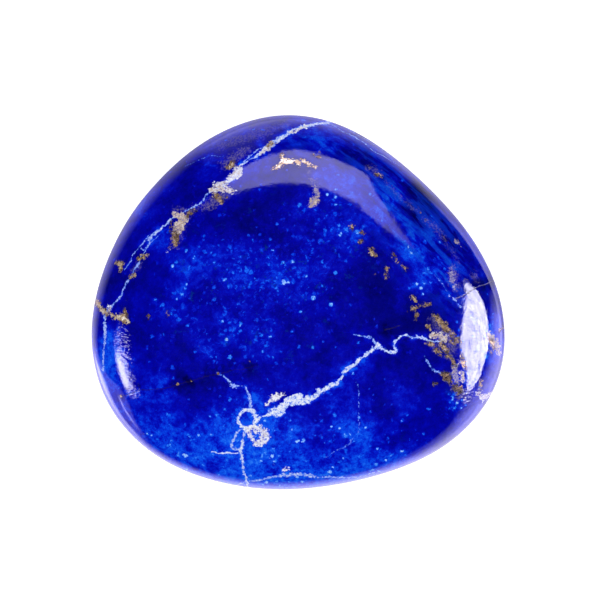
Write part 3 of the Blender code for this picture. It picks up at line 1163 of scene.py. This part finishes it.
def brass_grains(recipe, place, colours):
    """Where brass shows, its colour, its dark surround and a chance for each grain.

    Angular grains fill the middle of a patch and thin out at its edge. A grain is
    brighter deep inside a bright patch, and by its own chance; the brightest are painted glints.
    """
    loose = recipe.shifted(place, scale=3.0, reach=0.10)
    # light: a chance for each grain, which paints how brightly it glints (a painted highlight)
    _, (there, light, chance) = recipe.cells(loose, scale=6.0)
    grit = recipe.sway(place, scale=11.0, detail=2)
    patch = recipe.stored("brass")
    edge = recipe.add(
        patch,
        recipe.scaled(there, 2 * BRASS_RAGGED, -BRASS_RAGGED),
        recipe.scaled(grit, BRASS_GRIT),
    )
    body = recipe.rise(edge, -0.03, 0.04)
    single_edge = recipe.add(recipe.stored("brass_grain"), recipe.scaled(grit, 0.003))
    single = recipe.rise(single_edge, 0.012, -0.008)
    brass = recipe.math("MAXIMUM", body, single)
    around = recipe.rise(edge, -SURROUND_WIDTH, 0.0)
    surround = recipe.math("SUBTRACT", around, brass, clamp=True)
    patch_tone = recipe.product(recipe.stored("brass_tone"), body)
    tone = recipe.math("MAXIMUM", patch_tone, recipe.scaled(single, SINGLE_GRAIN_TONE))
    level = recipe.add(
        recipe.scaled(tone, BRASS_BY_TONE, BRASS_START),
        recipe.math("MAXIMUM", patch, 0.0),
        recipe.scaled(light, BRASS_GLINT_BY_CHANCE),
        recipe.scaled(grit, BRASS_BY_GRIT),
    )
    # The palest brass colours are painted highlights: glints on the grains
    colour = recipe.ramp(
        level, colours, brass_dark=0.05, brass_brown=0.30, brass=0.52, brass_pale=0.76,
        brass_light=1.00,
    )
    return brass, colour, surround, chance


# Roughness of the polish: how much it varies, and what brass and calcite add
POLISH_SWING = 0.012
BRASS_DULLNESS = 0.14
CALCITE_DULLNESS = 0.05
STONE_IOR = 1.5

# Relief in mm
SWELL_HEIGHT = 0.0014
POLISH_GRAIN_HEIGHT = 0.00012
CALCITE_DROP = 0.004
BRASS_DROP = 0.014           # of the lowest grains
BRASS_RISE = 0.020           # from the lowest grains to the highest
CRACK_DROP = 0.012
SCRATCH_HEIGHT = 0.0075

# The scratches across the left edge: their direction, and their size in mm
SCRATCH_TURN = math.radians(10)
SCRATCH_LENGTH = 0.60
SCRATCH_WIDTH = 0.15


def lay_polish(recipe, finish, place, calcite, brass):
    """Gloss: glassy on the blue, duller on calcite and brass."""
    roughness = recipe.add(
        recipe.scaled(recipe.sway(place, scale=0.6, detail=5), POLISH_SWING, finish.polish),
        recipe.scaled(brass, BRASS_DULLNESS),
        recipe.scaled(calcite, CALCITE_DULLNESS),
    )
    recipe.feed(recipe.surface.inputs["Roughness"], roughness)
    recipe.feed(recipe.surface.inputs["Metallic"], recipe.scaled(brass, finish.brass_shine))
    recipe.surface.inputs["IOR"].default_value = STONE_IOR


def lay_relief(recipe, place, calcite, brass, chance, crack):
    """Relief: softer minerals and cracks lie a hair lower, and scratches break the gloss."""
    scratch_place = recipe.place(SCRATCH_TURN, SCRATCH_LENGTH, SCRATCH_WIDTH)
    scratches = recipe.sway(scratch_place, scale=1.0, detail=1)
    height = recipe.add(
        recipe.scaled(recipe.sway(place, scale=0.9), SWELL_HEIGHT),
        recipe.scaled(recipe.sway(place, scale=9.0), POLISH_GRAIN_HEIGHT),
        recipe.scaled(calcite, -CALCITE_DROP),
        recipe.product(brass, recipe.scaled(chance, BRASS_RISE, -BRASS_DROP)),
        recipe.scaled(crack, -CRACK_DROP),
        recipe.product(scratches, recipe.stored("scuffed"), SCRATCH_HEIGHT),
    )
    bump = recipe.node("ShaderNodeBump")
    bump.inputs["Strength"].default_value = 1.0
    bump.inputs["Distance"].default_value = MM
    recipe.feed(bump.inputs["Height"], height)
    recipe.feed(recipe.surface.inputs["Normal"], bump.outputs[0])


def stone_material(colours, finish):
    """Polished lapis: clouded blue with pale grains, white veins, cream and brass grains.

    Each mineral is laid over the ones before it.
    """
    recipe = Recipe("polished_lapis")
    place = recipe.place()
    coarse = recipe.sway(place, scale=1.5, detail=4)
    lace = recipe.sway(place, scale=3.6, detail=2)
    sugary = recipe.sway(place, scale=7.0, detail=3, roughness=0.65)
    holes = recipe.rise(recipe.sway(place, scale=5.0, detail=2), 0.40, 0.90)

    white, vein_lift = white_veins(recipe, coarse, lace, sugary, holes)
    crack, crack_shade = dark_cracks(recipe, place, coarse, lace)
    lift = recipe.add(
        recipe.scaled(vein_lift, finish.vein_halo),
        recipe.scaled(crack_shade, -finish.crack_shadow),
    )
    colour = blue_ground(recipe, place, colours, lift)
    colour = recipe.mix(recipe.scaled(crack, CRACK_COVER), colour, colours.crack_brown)

    # Haze: a lilac tint of the stone, and partly painted reflection of the dim room
    haze, haze_colour = lilac_haze_and_reflection(recipe, colours, lace, sugary, holes)
    colour = recipe.mix(recipe.scaled(haze, HAZE_COVER), colour, haze_colour)

    vein_colour = recipe.ramp(
        white, colours, vein_azure=0.10, vein_blue=0.36, vein_shade=0.60, vein_white=0.82,
        vein_bright=1.00,
    )
    colour = recipe.mix(recipe.rise(white, 0.04, 0.34), colour, vein_colour)

    cream, cream_colour = cream_calcite(recipe, colours, lace, sugary, holes)
    colour = recipe.mix(recipe.scaled(cream, CREAM_COVER), colour, cream_colour)

    brass, brass_colour, surround, chance = brass_grains(recipe, place, colours)
    colour = recipe.mix(recipe.scaled(surround, SURROUND_COVER), colour, colours.night_blue)
    colour = recipe.mix(recipe.scaled(brass, BRASS_COVER), colour, brass_colour)
    recipe.feed(recipe.surface.inputs["Base Color"], colour)

    calcite = recipe.math("MAXIMUM", recipe.rise(white, 0.2, 0.5), cream)
    lay_polish(recipe, finish, place, calcite, brass)
    lay_relief(recipe, place, calcite, brass, chance, crack)
    return recipe.material


# Stage sizes
CARD_DISTANCE = 0.6
CARD_GAP = 0.2 * MM
CARD_STEPS = 160             # points along a card
CARD_ROWS = 31               # points up a card
FLOOR_HALF = 0.6
FLOOR_DROP = 0.02 * MM
FLOOR_GLOW = 0.55
FLOOR_ROUGHNESS = 0.9
FILL_HEIGHT = 0.8
FILL_SIZE = 1.4
NEAREST_SEEN = 0.01
FURTHEST_SEEN = 20.0

# Mottle of the cards: mm between brighter and dimmer parts, and how much they differ
CARD_PATCH = 24.0
CARD_MOTTLE = 0.14
BOX_MOTTLE = 0.90
VEIL_MOTTLE = 0.40

# The air round the stage: what shiny reflections see, and the soft light on the rest
DARK_AIR = (0.006, 0.007, 0.010)
SOFT_AIR = (0.25, 0.25, 0.26)


def glow_material(name, colour, strength, mottle):
    """Light of a reflector card: its stored glow, made uneven by noise.

    The card is clear, so that the light of cards one behind the other adds up.
    """
    recipe = Recipe(name)
    recipe.tree.nodes.remove(recipe.surface)
    patches = recipe.sway(recipe.place(), 1 / CARD_PATCH, detail=5, roughness=0.8)
    uneven = recipe.scaled(patches, mottle, 1.0)
    light = recipe.node("ShaderNodeEmission")
    recipe.feed(light.inputs["Color"], colour)
    recipe.feed(light.inputs["Strength"], recipe.product(recipe.stored("glow"), uneven, strength))
    both = recipe.node("ShaderNodeAddShader")
    recipe.feed(both.inputs[0], light.outputs[0])
    recipe.feed(both.inputs[1], recipe.node("ShaderNodeBsdfTransparent").outputs[0])
    output = recipe.tree.nodes["Material Output"]
    recipe.feed(output.inputs["Surface"], both.outputs[0])
    return recipe.material


def put_card(name, turn, tilt, glow, colour, strength, mottle):
    """A reflector card: a sheet at an even distance from the stone, given by turn and tilt.

    Each card made is a little nearer than the last. Only shiny reflections see it, so
    it neither casts light on the floor nor shows.
    """
    cards = sum("glow" in mesh.attributes for mesh in bpy.data.meshes)
    place = (CARD_DISTANCE - cards * CARD_GAP) * np.stack((
        np.cos(tilt) * np.cos(turn), np.cos(tilt) * np.sin(turn), np.sin(tilt),
    ), axis=-1)
    rows, columns = turn.shape
    place[..., 2] += GIRDLE_HEIGHT
    start = (np.arange(rows - 1)[:, None] * columns + np.arange(columns - 1)).ravel()
    faces = np.column_stack((start, start + 1, start + columns + 1, start + columns))
    mesh = bpy.data.meshes.new(name)
    mesh.from_pydata(place.reshape(-1, 3), [], faces.tolist())
    store(mesh, "glow", np.broadcast_to(glow, turn.shape).ravel())
    mesh.materials.append(glow_material(name, colour, strength, mottle))
    card = bpy.data.objects.new(name, mesh)
    bpy.context.scene.collection.objects.link(card)
    card.visible_camera = False
    card.visible_diffuse = False
    card.visible_shadow = False


def strip_card(name, edges, profile, colour, strength, mottle):
    """A card between a lower and an upper edge.

    An edge point is a turn, the tilts of the lower and the upper edge there, in degrees,
    and a glow. The profile is how the glow changes from the lower edge, 0, to the upper, 1.
    """
    listed = np.array(edges)
    turn = np.linspace(listed[0, 0], listed[-1, 0], CARD_STEPS)
    low, high, glow = (np.interp(turn, listed[:, 0], listed[:, k]) for k in (1, 2, 3))
    share = np.linspace(0, 1, CARD_ROWS)[:, None]
    fade = np.interp(share, *zip(*profile))
    tilt = low + share * (high - low)
    turn = np.broadcast_to(turn, tilt.shape)
    put_card(name, np.radians(turn), np.radians(tilt), glow * fade, colour, strength, mottle)


# How a card's glow changes from its lower edge, 0, to its upper one, 1
EVEN = ((0, 1), (1, 1))
RIDGE = ((0, 0), (0.5, 1), (1, 0))
FADE_UP = ((0, 1), (0.5, 0.9), (1, 0))
FADE_DOWN = ((0, 0), (0.4, 0.8), (0.95, 1), (1, 0))
SOFT_EDGES = ((0, 0), (0.25, 0.8), (0.5, 1), (0.8, 0.7), (1, 0))
FLOOR_FADE = ((0, 0.5), (0.35, 0.6), (0.55, 1), (0.75, 0.9), (0.9, 0.4), (1, 0))
SHARP_FADE = ((0, 0.35), (0.5, 0.45), (0.75, 0.7), (0.9, 1.2), (0.97, 1.2), (1, 0))
VEIL_FADE = ((0, 0), (0.35, 0.9), (0.65, 1), (0.85, 0.5), (1, 0))

# Cards round the stone, as turn, lower edge, upper edge and glow
BACK_PANEL = (
    (30, 49, 50, 0.1), (34, 48.5, 51, 0.3), (38, 47.5, 52, 0.4), (43, 46.5, 53, 0.5),
    (50, 41.5, 53, 0.6), (56, 37, 52, 0.7), (60.5, 30, 50.5, 0.8), (62.5, 24, 50, 0.85),
    (72, 23.5, 49, 0.95), (83, 22.5, 47.5, 1.0), (94, 20.5, 46.5, 0.9), (99, 22.5, 46, 0.85),
    (105, 24.5, 45.5, 0.85), (113, 27, 44, 0.8), (120, 31, 42.5, 0.7), (125, 36, 41, 0.0),
)
FLOOR_SHEEN = (
    (36, -88, -14, 0.0), (48, -88, -13, 1.7), (60, -88, -12, 1.6), (90, -88, -8, 1.4),
    (105, -88, -8, 1.5), (120, -88, -12, 1.1), (135, -88, -12, 0.8), (150, -88, -12, 1.2),
    (168, -88, -12, 1.4), (180, -88, -14, 2.2), (195, -88, -14, 3.2), (210, -88, -12, 3.4),
    (225, -88, -10, 3.4), (242, -88, -8, 3.6), (270, -88, -8, 3.2), (300, -88, -8, 3.8),
    (330, -88, -10, 3.0), (348, -88, -12, 2.8), (360, -88, -14, 0.0),
)
RIGHT_SHEEN = (
    (-12, -88, -19, 0.0), (0, -88, -19, 2.2), (12, -88, -19, 2.2), (25, -88, -18, 2.2),
    (36, -88, -16, 2.0), (48, -88, -13, 0.0),
)
BACK_WALL = (
    (60, -34, 0, 0.0), (74, -34, 4, 0.7), (88, -34, 8, 0.7), (97, -34, 14, 0.8),
    (101, -34, 19, 1.0), (112, -34, 20, 1.0), (120, -34, 14, 0.9), (126, -34, 6, 0.0),
)
RIGHT_VEIL = (
    (-72, -40, -4, 0.0), (-56, -40, 6, 0.5), (-46, -40, 12, 0.8), (-38, -40, 20, 1.1),
    (-30, -40, 21, 1.3), (-20, -40, 17, 1.3), (-4, -40, 15, 1.2), (4, -40, 12, 1.0),
    (10, -40, 4, 0.4), (16, -40, -6, 0.0),
)
LEFT_VEIL = (
    (180, -34, -26, 0.0), (186, -34, -20, 0.5), (190.5, -34, -8, 0.8), (197, -34, 9, 1.0),
    (200.5, -34, 20, 1.0), (205, -34, 22, 1.0), (210, -34, 20, 0.9), (215, -34, 14, 0.9),
    (220.5, -34, 7, 0.8), (228, -34, -2, 0.0),
)
OUTER_ARC = (
    (186, -44, -34, 0.0), (190.5, -44, -24, 0.6), (194, -42, -14, 0.8), (197, -40, -8, 0.9),
    (201, -38, -8, 0.9), (206, -36, -9, 0.7), (212, -34, -11, 0.5), (220, -34, -14, 0.4),
    (228, -34, -17, 0.0),
)
INNER_ARC = (
    (203, 7, 13, 0.0), (206, 6, 12.5, 1.0), (213, 3, 9, 1.0), (218, 0, 6, 0.5), (222, -2, 3, 0.0),
)
RIGHT_BOX = (
    (-29.5, 24, 26, 1), (-28, 21.5, 29, 1), (-25, 21, 32, 1), (-21, 19.5, 36, 1),
    (-16.5, 20, 40, 1), (-13, 18.5, 42.5, 1), (-10, 17.5, 43.5, 1), (-5, 16.5, 43, 1),
    (0, 15.5, 41, 1), (5, 14, 38.5, 1), (9, 15, 35.5, 1), (12, 17, 33, 1), (15, 21.5, 30.5, 1),
    (16.5, 25, 28, 1),
)
LEFT_BOX = (
    (-178, 22, 28, 0.0), (-175, 21.5, 29, 0.3), (-172, 21.5, 30, 0.5), (-169.5, 21.5, 31, 1.0),
    (-166, 21.5, 32.3, 1.0), (-161, 22.8, 33.4, 1.0), (-157, 24.5, 32.5, 0.8), (-155, 27, 31, 0.0),
)


def white_floor(colour):
    """A wide matt floor just under the stone. A card stands for it in the stone's reflections.

    It glows a little, so that the stone's shadow on it stays faint.
    """
    recipe = Recipe("white_floor")
    for name, value in (
        ("Base Color", colour), ("Emission Color", colour), ("Emission Strength", FLOOR_GLOW),
        ("Roughness", FLOOR_ROUGHNESS), ("Specular IOR Level", 0.0),
    ):
        recipe.feed(recipe.surface.inputs[name], value)
    mesh = bpy.data.meshes.new("floor")
    corners = np.array(((-1, -1, 0), (1, -1, 0), (1, 1, 0), (-1, 1, 0))) * FLOOR_HALF
    mesh.from_pydata(corners - (0, 0, FLOOR_DROP), [], [(0, 1, 2, 3)])
    mesh.materials.append(recipe.material)
    floor = bpy.data.objects.new("floor", mesh)
    bpy.context.scene.collection.objects.link(floor)
    floor.visible_glossy = False


def fill_light(power):
    """A wide soft light straight overhead that shiny reflections don't show."""
    lamp = bpy.data.lights.new("fill", "AREA")
    lamp.shape = "DISK"
    lamp.size = FILL_SIZE
    lamp.energy = power
    fill = bpy.data.objects.new("fill", lamp)
    fill.location = (0, 0, FILL_HEIGHT)
    fill.visible_camera = False
    fill.visible_glossy = False
    bpy.context.scene.collection.objects.link(fill)


def studio_air(backdrop):
    """Pale backdrop for the camera, dark surroundings for reflections, soft light for the rest."""
    world = bpy.data.worlds.new("studio")
    bpy.context.scene.world = world
    world.use_nodes = True
    nodes, links = world.node_tree.nodes, world.node_tree.links
    nodes.clear()
    ray = nodes.new("ShaderNodeLightPath")

    def air(colour):
        shade = nodes.new("ShaderNodeBackground")
        shade.inputs["Color"].default_value = (*colour, 1)
        return shade.outputs[0]

    def choice(kind, others, these):
        mixed = nodes.new("ShaderNodeMixShader")
        for socket, value in zip(mixed.inputs, (ray.outputs[kind], others, these)):
            links.new(value, socket)
        return mixed.outputs[0]

    unseen = choice("Is Glossy Ray", air(SOFT_AIR), air(DARK_AIR))
    output = nodes.new("ShaderNodeOutputWorld")
    links.new(choice("Is Camera Ray", unseen, air(backdrop)), output.inputs[0])


def overhead_camera(place):
    """The camera looks straight down, with the photograph's top towards +Y."""
    lens = bpy.data.cameras.new("overhead")
    lens.lens = LENS
    lens.sensor_width = SENSOR
    lens.clip_start = NEAREST_SEEN
    lens.clip_end = FURTHEST_SEEN
    camera = bpy.data.objects.new("overhead", lens)
    camera.location = Vector(place)
    bpy.context.scene.collection.objects.link(camera)
    bpy.context.scene.camera = camera


def colour_option(name, words, shown):
    """A colour that a user can change, with its default given as seen on a screen."""
    return bpy.props.FloatVectorProperty(
        name=name, description=words, default=seen_colour(*shown), subtype="COLOR", min=0, max=1
    )


def share_option(name, words, share):
    """A share from 0 to 1 that a user can change."""
    return bpy.props.FloatProperty(
        name=name, description=words, default=share, min=0, max=1, subtype="FACTOR"
    )


def glow_option(name, part, glow):
    """The brightness of a card that a user can change."""
    return bpy.props.FloatProperty(
        name=name, description="Brightness of " + part, default=glow, min=0
    )


class LapisColours(bpy.types.PropertyGroup):
    """Colours of the stone's minerals."""

    night_blue: colour_option("Night blue", "Darkest rock", (0, 0, 74))
    navy_blue: colour_option("Navy blue", "Dark rock", (1, 2, 118))
    deep_blue: colour_option("Deep blue", "Rock a little darker than most", (2, 2, 148))
    royal_blue: colour_option("Royal blue", "Most of the rock", (2, 5, 170))
    bright_blue: colour_option("Bright blue", "Lighter rock", (3, 22, 193))
    azure: colour_option("Azure", "Pale rock and halos of veins", (4, 52, 216))
    light_azure: colour_option("Light azure", "Threads and dim grains", (10, 84, 232))
    pale_azure: colour_option("Pale azure", "Palest rock and small grains", (48, 130, 242))
    ice_blue: colour_option("Ice blue", "Brightest small grains", (150, 190, 250))
    streak_blue: colour_option("Streak blue", "Streaks along the upper right edge", (6, 50, 174))
    smoke_blue: colour_option("Smoke blue", "Dull greenish specks", (8, 50, 112))
    vein_azure: colour_option("Vein edge", "Outermost edge of a vein", (34, 96, 234))
    vein_blue: colour_option("Vein blue", "Thin and faint veins", (104, 138, 238))
    vein_shade: colour_option("Vein shade", "Bluish parts of calcite veins", (154, 174, 240))
    vein_white: colour_option("Vein white", "Calcite veins", (194, 206, 240))
    vein_bright: colour_option("Vein middle", "Middle of the thickest veins", (230, 232, 242))
    calcite_lilac: colour_option("Lilac calcite", "Dimmest calcite", (110, 104, 164))
    calcite_grey: colour_option("Grey calcite", "Dim calcite", (150, 142, 180))
    calcite_tan: colour_option("Tan calcite", "Brownish calcite", (166, 146, 134))
    calcite_cream: colour_option("Cream", "Warm calcite", (206, 188, 172))
    calcite_pale: colour_option("Pale calcite", "Cool pale calcite", (206, 206, 226))
    calcite_white: colour_option("White calcite", "Brightest calcite", (238, 238, 246))
    # Haze colours: a tint of the stone, and partly painted reflection of the dim room
    haze_and_reflection_lilac: colour_option("Lilac haze", "Lilac stain", (104, 98, 158))
    haze_and_reflection_tan: colour_option("Tan haze", "Brownish stain", (128, 114, 146))
    crack_brown: colour_option("Crack", "Line of a hairline crack", (30, 22, 48))
    brass_dark: colour_option("Dark brass", "Dullest pyrite grains", (30, 20, 26))
    brass_brown: colour_option("Brown brass", "Dull pyrite grains", (92, 70, 52))
    brass: colour_option("Brass", "Pyrite", (150, 120, 86))
    # The pale and the brightest brass colours are painted glints of light on the pyrite
    brass_pale: colour_option("Pale brass", "Bright pyrite grains", (206, 178, 138))
    brass_light: colour_option("Light brass", "Glinting pyrite grains", (250, 240, 220))


class LapisFinish(bpy.types.PropertyGroup):
    """Shape and polish of the stone."""

    ripple: bpy.props.FloatProperty(
        name="Ripple", description="Height of the slight waves left by tumbling",
        default=0.03 * MM, min=0, unit="LENGTH", precision=6,
    )
    polish: share_option("Polish", "Roughness of the polished blue rock", 0.06)
    brass_shine: share_option("Brass shine", "How metallic the brassy grains are", 0.35)
    vein_halo: share_option("Vein halo", "How strongly azure shows beside the veins", 0.34)
    crack_shadow: share_option("Crack shadow", "How dark the rock is beside a crack", 0.22)


class LapisStage(bpy.types.PropertyGroup):
    """Floor and light."""

    floor_colour: colour_option("Floor", "Matt floor", (252, 252, 253))
    backdrop: colour_option("Backdrop", "What the camera sees past the floor", (252, 252, 254))
    card_colour: colour_option("Card", "Tint of the reflector cards", (224, 218, 255))
    veil_colour: colour_option("Veil", "Tint of the low veils at the sides", (190, 186, 255))
    box_colour: colour_option("Soft box", "Tint of the soft boxes", (250, 247, 255))
    fill_power: bpy.props.FloatProperty(
        name="Fill", description="Power of the soft light overhead",
        default=9.5, min=0, unit="POWER",
    )
    panel_glow: glow_option("Back panel", "the wide panel behind", 5.1)
    floor_glow: glow_option("Floor sheen", "the floor in the stone's edge", 1.0)
    wall_glow: glow_option("Back wall", "the low wall behind", 0.9)
    right_veil_glow: glow_option("Right veil", "the low veil at the right", 6.0)
    left_veil_glow: glow_option("Left veil", "the low veil at the left", 2.4)
    arc_glow: glow_option("Arcs", "the two thin arcs at the left", 9.0)
    right_glow: glow_option("Right box", "the right soft box", 20.0)
    left_glow: glow_option("Left box", "the left soft box", 22.0)


class LAPIS_OT_stone(bpy.types.Operator):
    """Make the polished stone in place of the plain solid"""

    bl_idname = "lapis.stone"
    bl_label = "Polished stone"

    def execute(self, context):
        scene = context.scene
        mesh = stone_mesh(fitted_form(scene.lapis_finish.ripple))
        mesh.materials.append(stone_material(scene.lapis_colours, scene.lapis_finish))
        stone = bpy.data.objects.new("polished_stone", mesh)
        scene.collection.objects.link(stone)
        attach(stone, "root")
        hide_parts("lapis_stone")
        return {"FINISHED"}


class LAPIS_OT_stage(bpy.types.Operator):
    """Make the white floor, the reflector cards, the light and the camera"""

    bl_idname = "lapis.stage"
    bl_label = "White studio"

    def execute(self, context):
        stage = context.scene.lapis_stage
        card, veil, box = stage.card_colour, stage.veil_colour, stage.box_colour
        white_floor(stage.floor_colour)
        fill_light(stage.fill_power)
        for name, edges, profile, colour, glow, mottle in (
            ("back_panel", BACK_PANEL, EVEN, card, stage.panel_glow, CARD_MOTTLE),
            ("floor_sheen", FLOOR_SHEEN, FLOOR_FADE, card, stage.floor_glow, CARD_MOTTLE),
            ("right_sheen", RIGHT_SHEEN, SHARP_FADE, card, stage.floor_glow, CARD_MOTTLE),
            ("back_wall", BACK_WALL, FADE_UP, card, stage.wall_glow, CARD_MOTTLE),
            ("right_veil", RIGHT_VEIL, VEIL_FADE, veil, stage.right_veil_glow, VEIL_MOTTLE),
            ("left_veil", LEFT_VEIL, FADE_DOWN, veil, stage.left_veil_glow, CARD_MOTTLE),
            ("outer_arc", OUTER_ARC, SOFT_EDGES, card, stage.arc_glow, CARD_MOTTLE),
            ("inner_arc", INNER_ARC, RIDGE, card, stage.arc_glow, CARD_MOTTLE),
            ("right_box", RIGHT_BOX, EVEN, box, stage.right_glow, BOX_MOTTLE),
            ("left_box", LEFT_BOX, SOFT_EDGES, box, stage.left_glow, CARD_MOTTLE),
        ):
            strip_card(name, edges, profile, colour, glow, mottle)
        studio_air(stage.backdrop)
        overhead_camera(fitted_form(context.scene.lapis_finish.ripple).camera_place())
        context.scene.view_settings.view_transform = "Standard"
        return {"FINISHED"}


class LAPIS_PT_panel(bpy.types.Panel):
    """Lists the stone's and the stage's operators and settings"""

    bl_label = "Lapis stone"
    bl_idname = "LAPIS_PT_panel"
    bl_space_type = "VIEW_3D"
    bl_region_type = "UI"
    bl_category = "Lapis"

    def draw(self, context):
        scene = context.scene
        for operator, groups in (
            ("lapis.stone", (scene.lapis_finish, scene.lapis_colours)),
            ("lapis.stage", (scene.lapis_stage,)),
        ):
            box = self.layout.box()
            box.operator(operator)
            for settings in groups:
                for name in settings.__annotations__:
                    box.prop(settings, name)


CLASSES = (LapisColours, LapisFinish, LapisStage, LAPIS_OT_stone, LAPIS_OT_stage, LAPIS_PT_panel)


def register():
    for part in CLASSES:
        bpy.utils.register_class(part)
    bpy.types.Scene.lapis_colours = bpy.props.PointerProperty(type=LapisColours)
    bpy.types.Scene.lapis_finish = bpy.props.PointerProperty(type=LapisFinish)
    bpy.types.Scene.lapis_stage = bpy.props.PointerProperty(type=LapisStage)


def unregister():
    del bpy.types.Scene.lapis_stage
    del bpy.types.Scene.lapis_finish
    del bpy.types.Scene.lapis_colours
    for part in reversed(CLASSES):
        bpy.utils.unregister_class(part)


def main():
    """Make everything in order."""
    register()
    bpy.ops.lapis.stone()
    bpy.ops.lapis.stage()


if __name__ == "__main__":
    main()
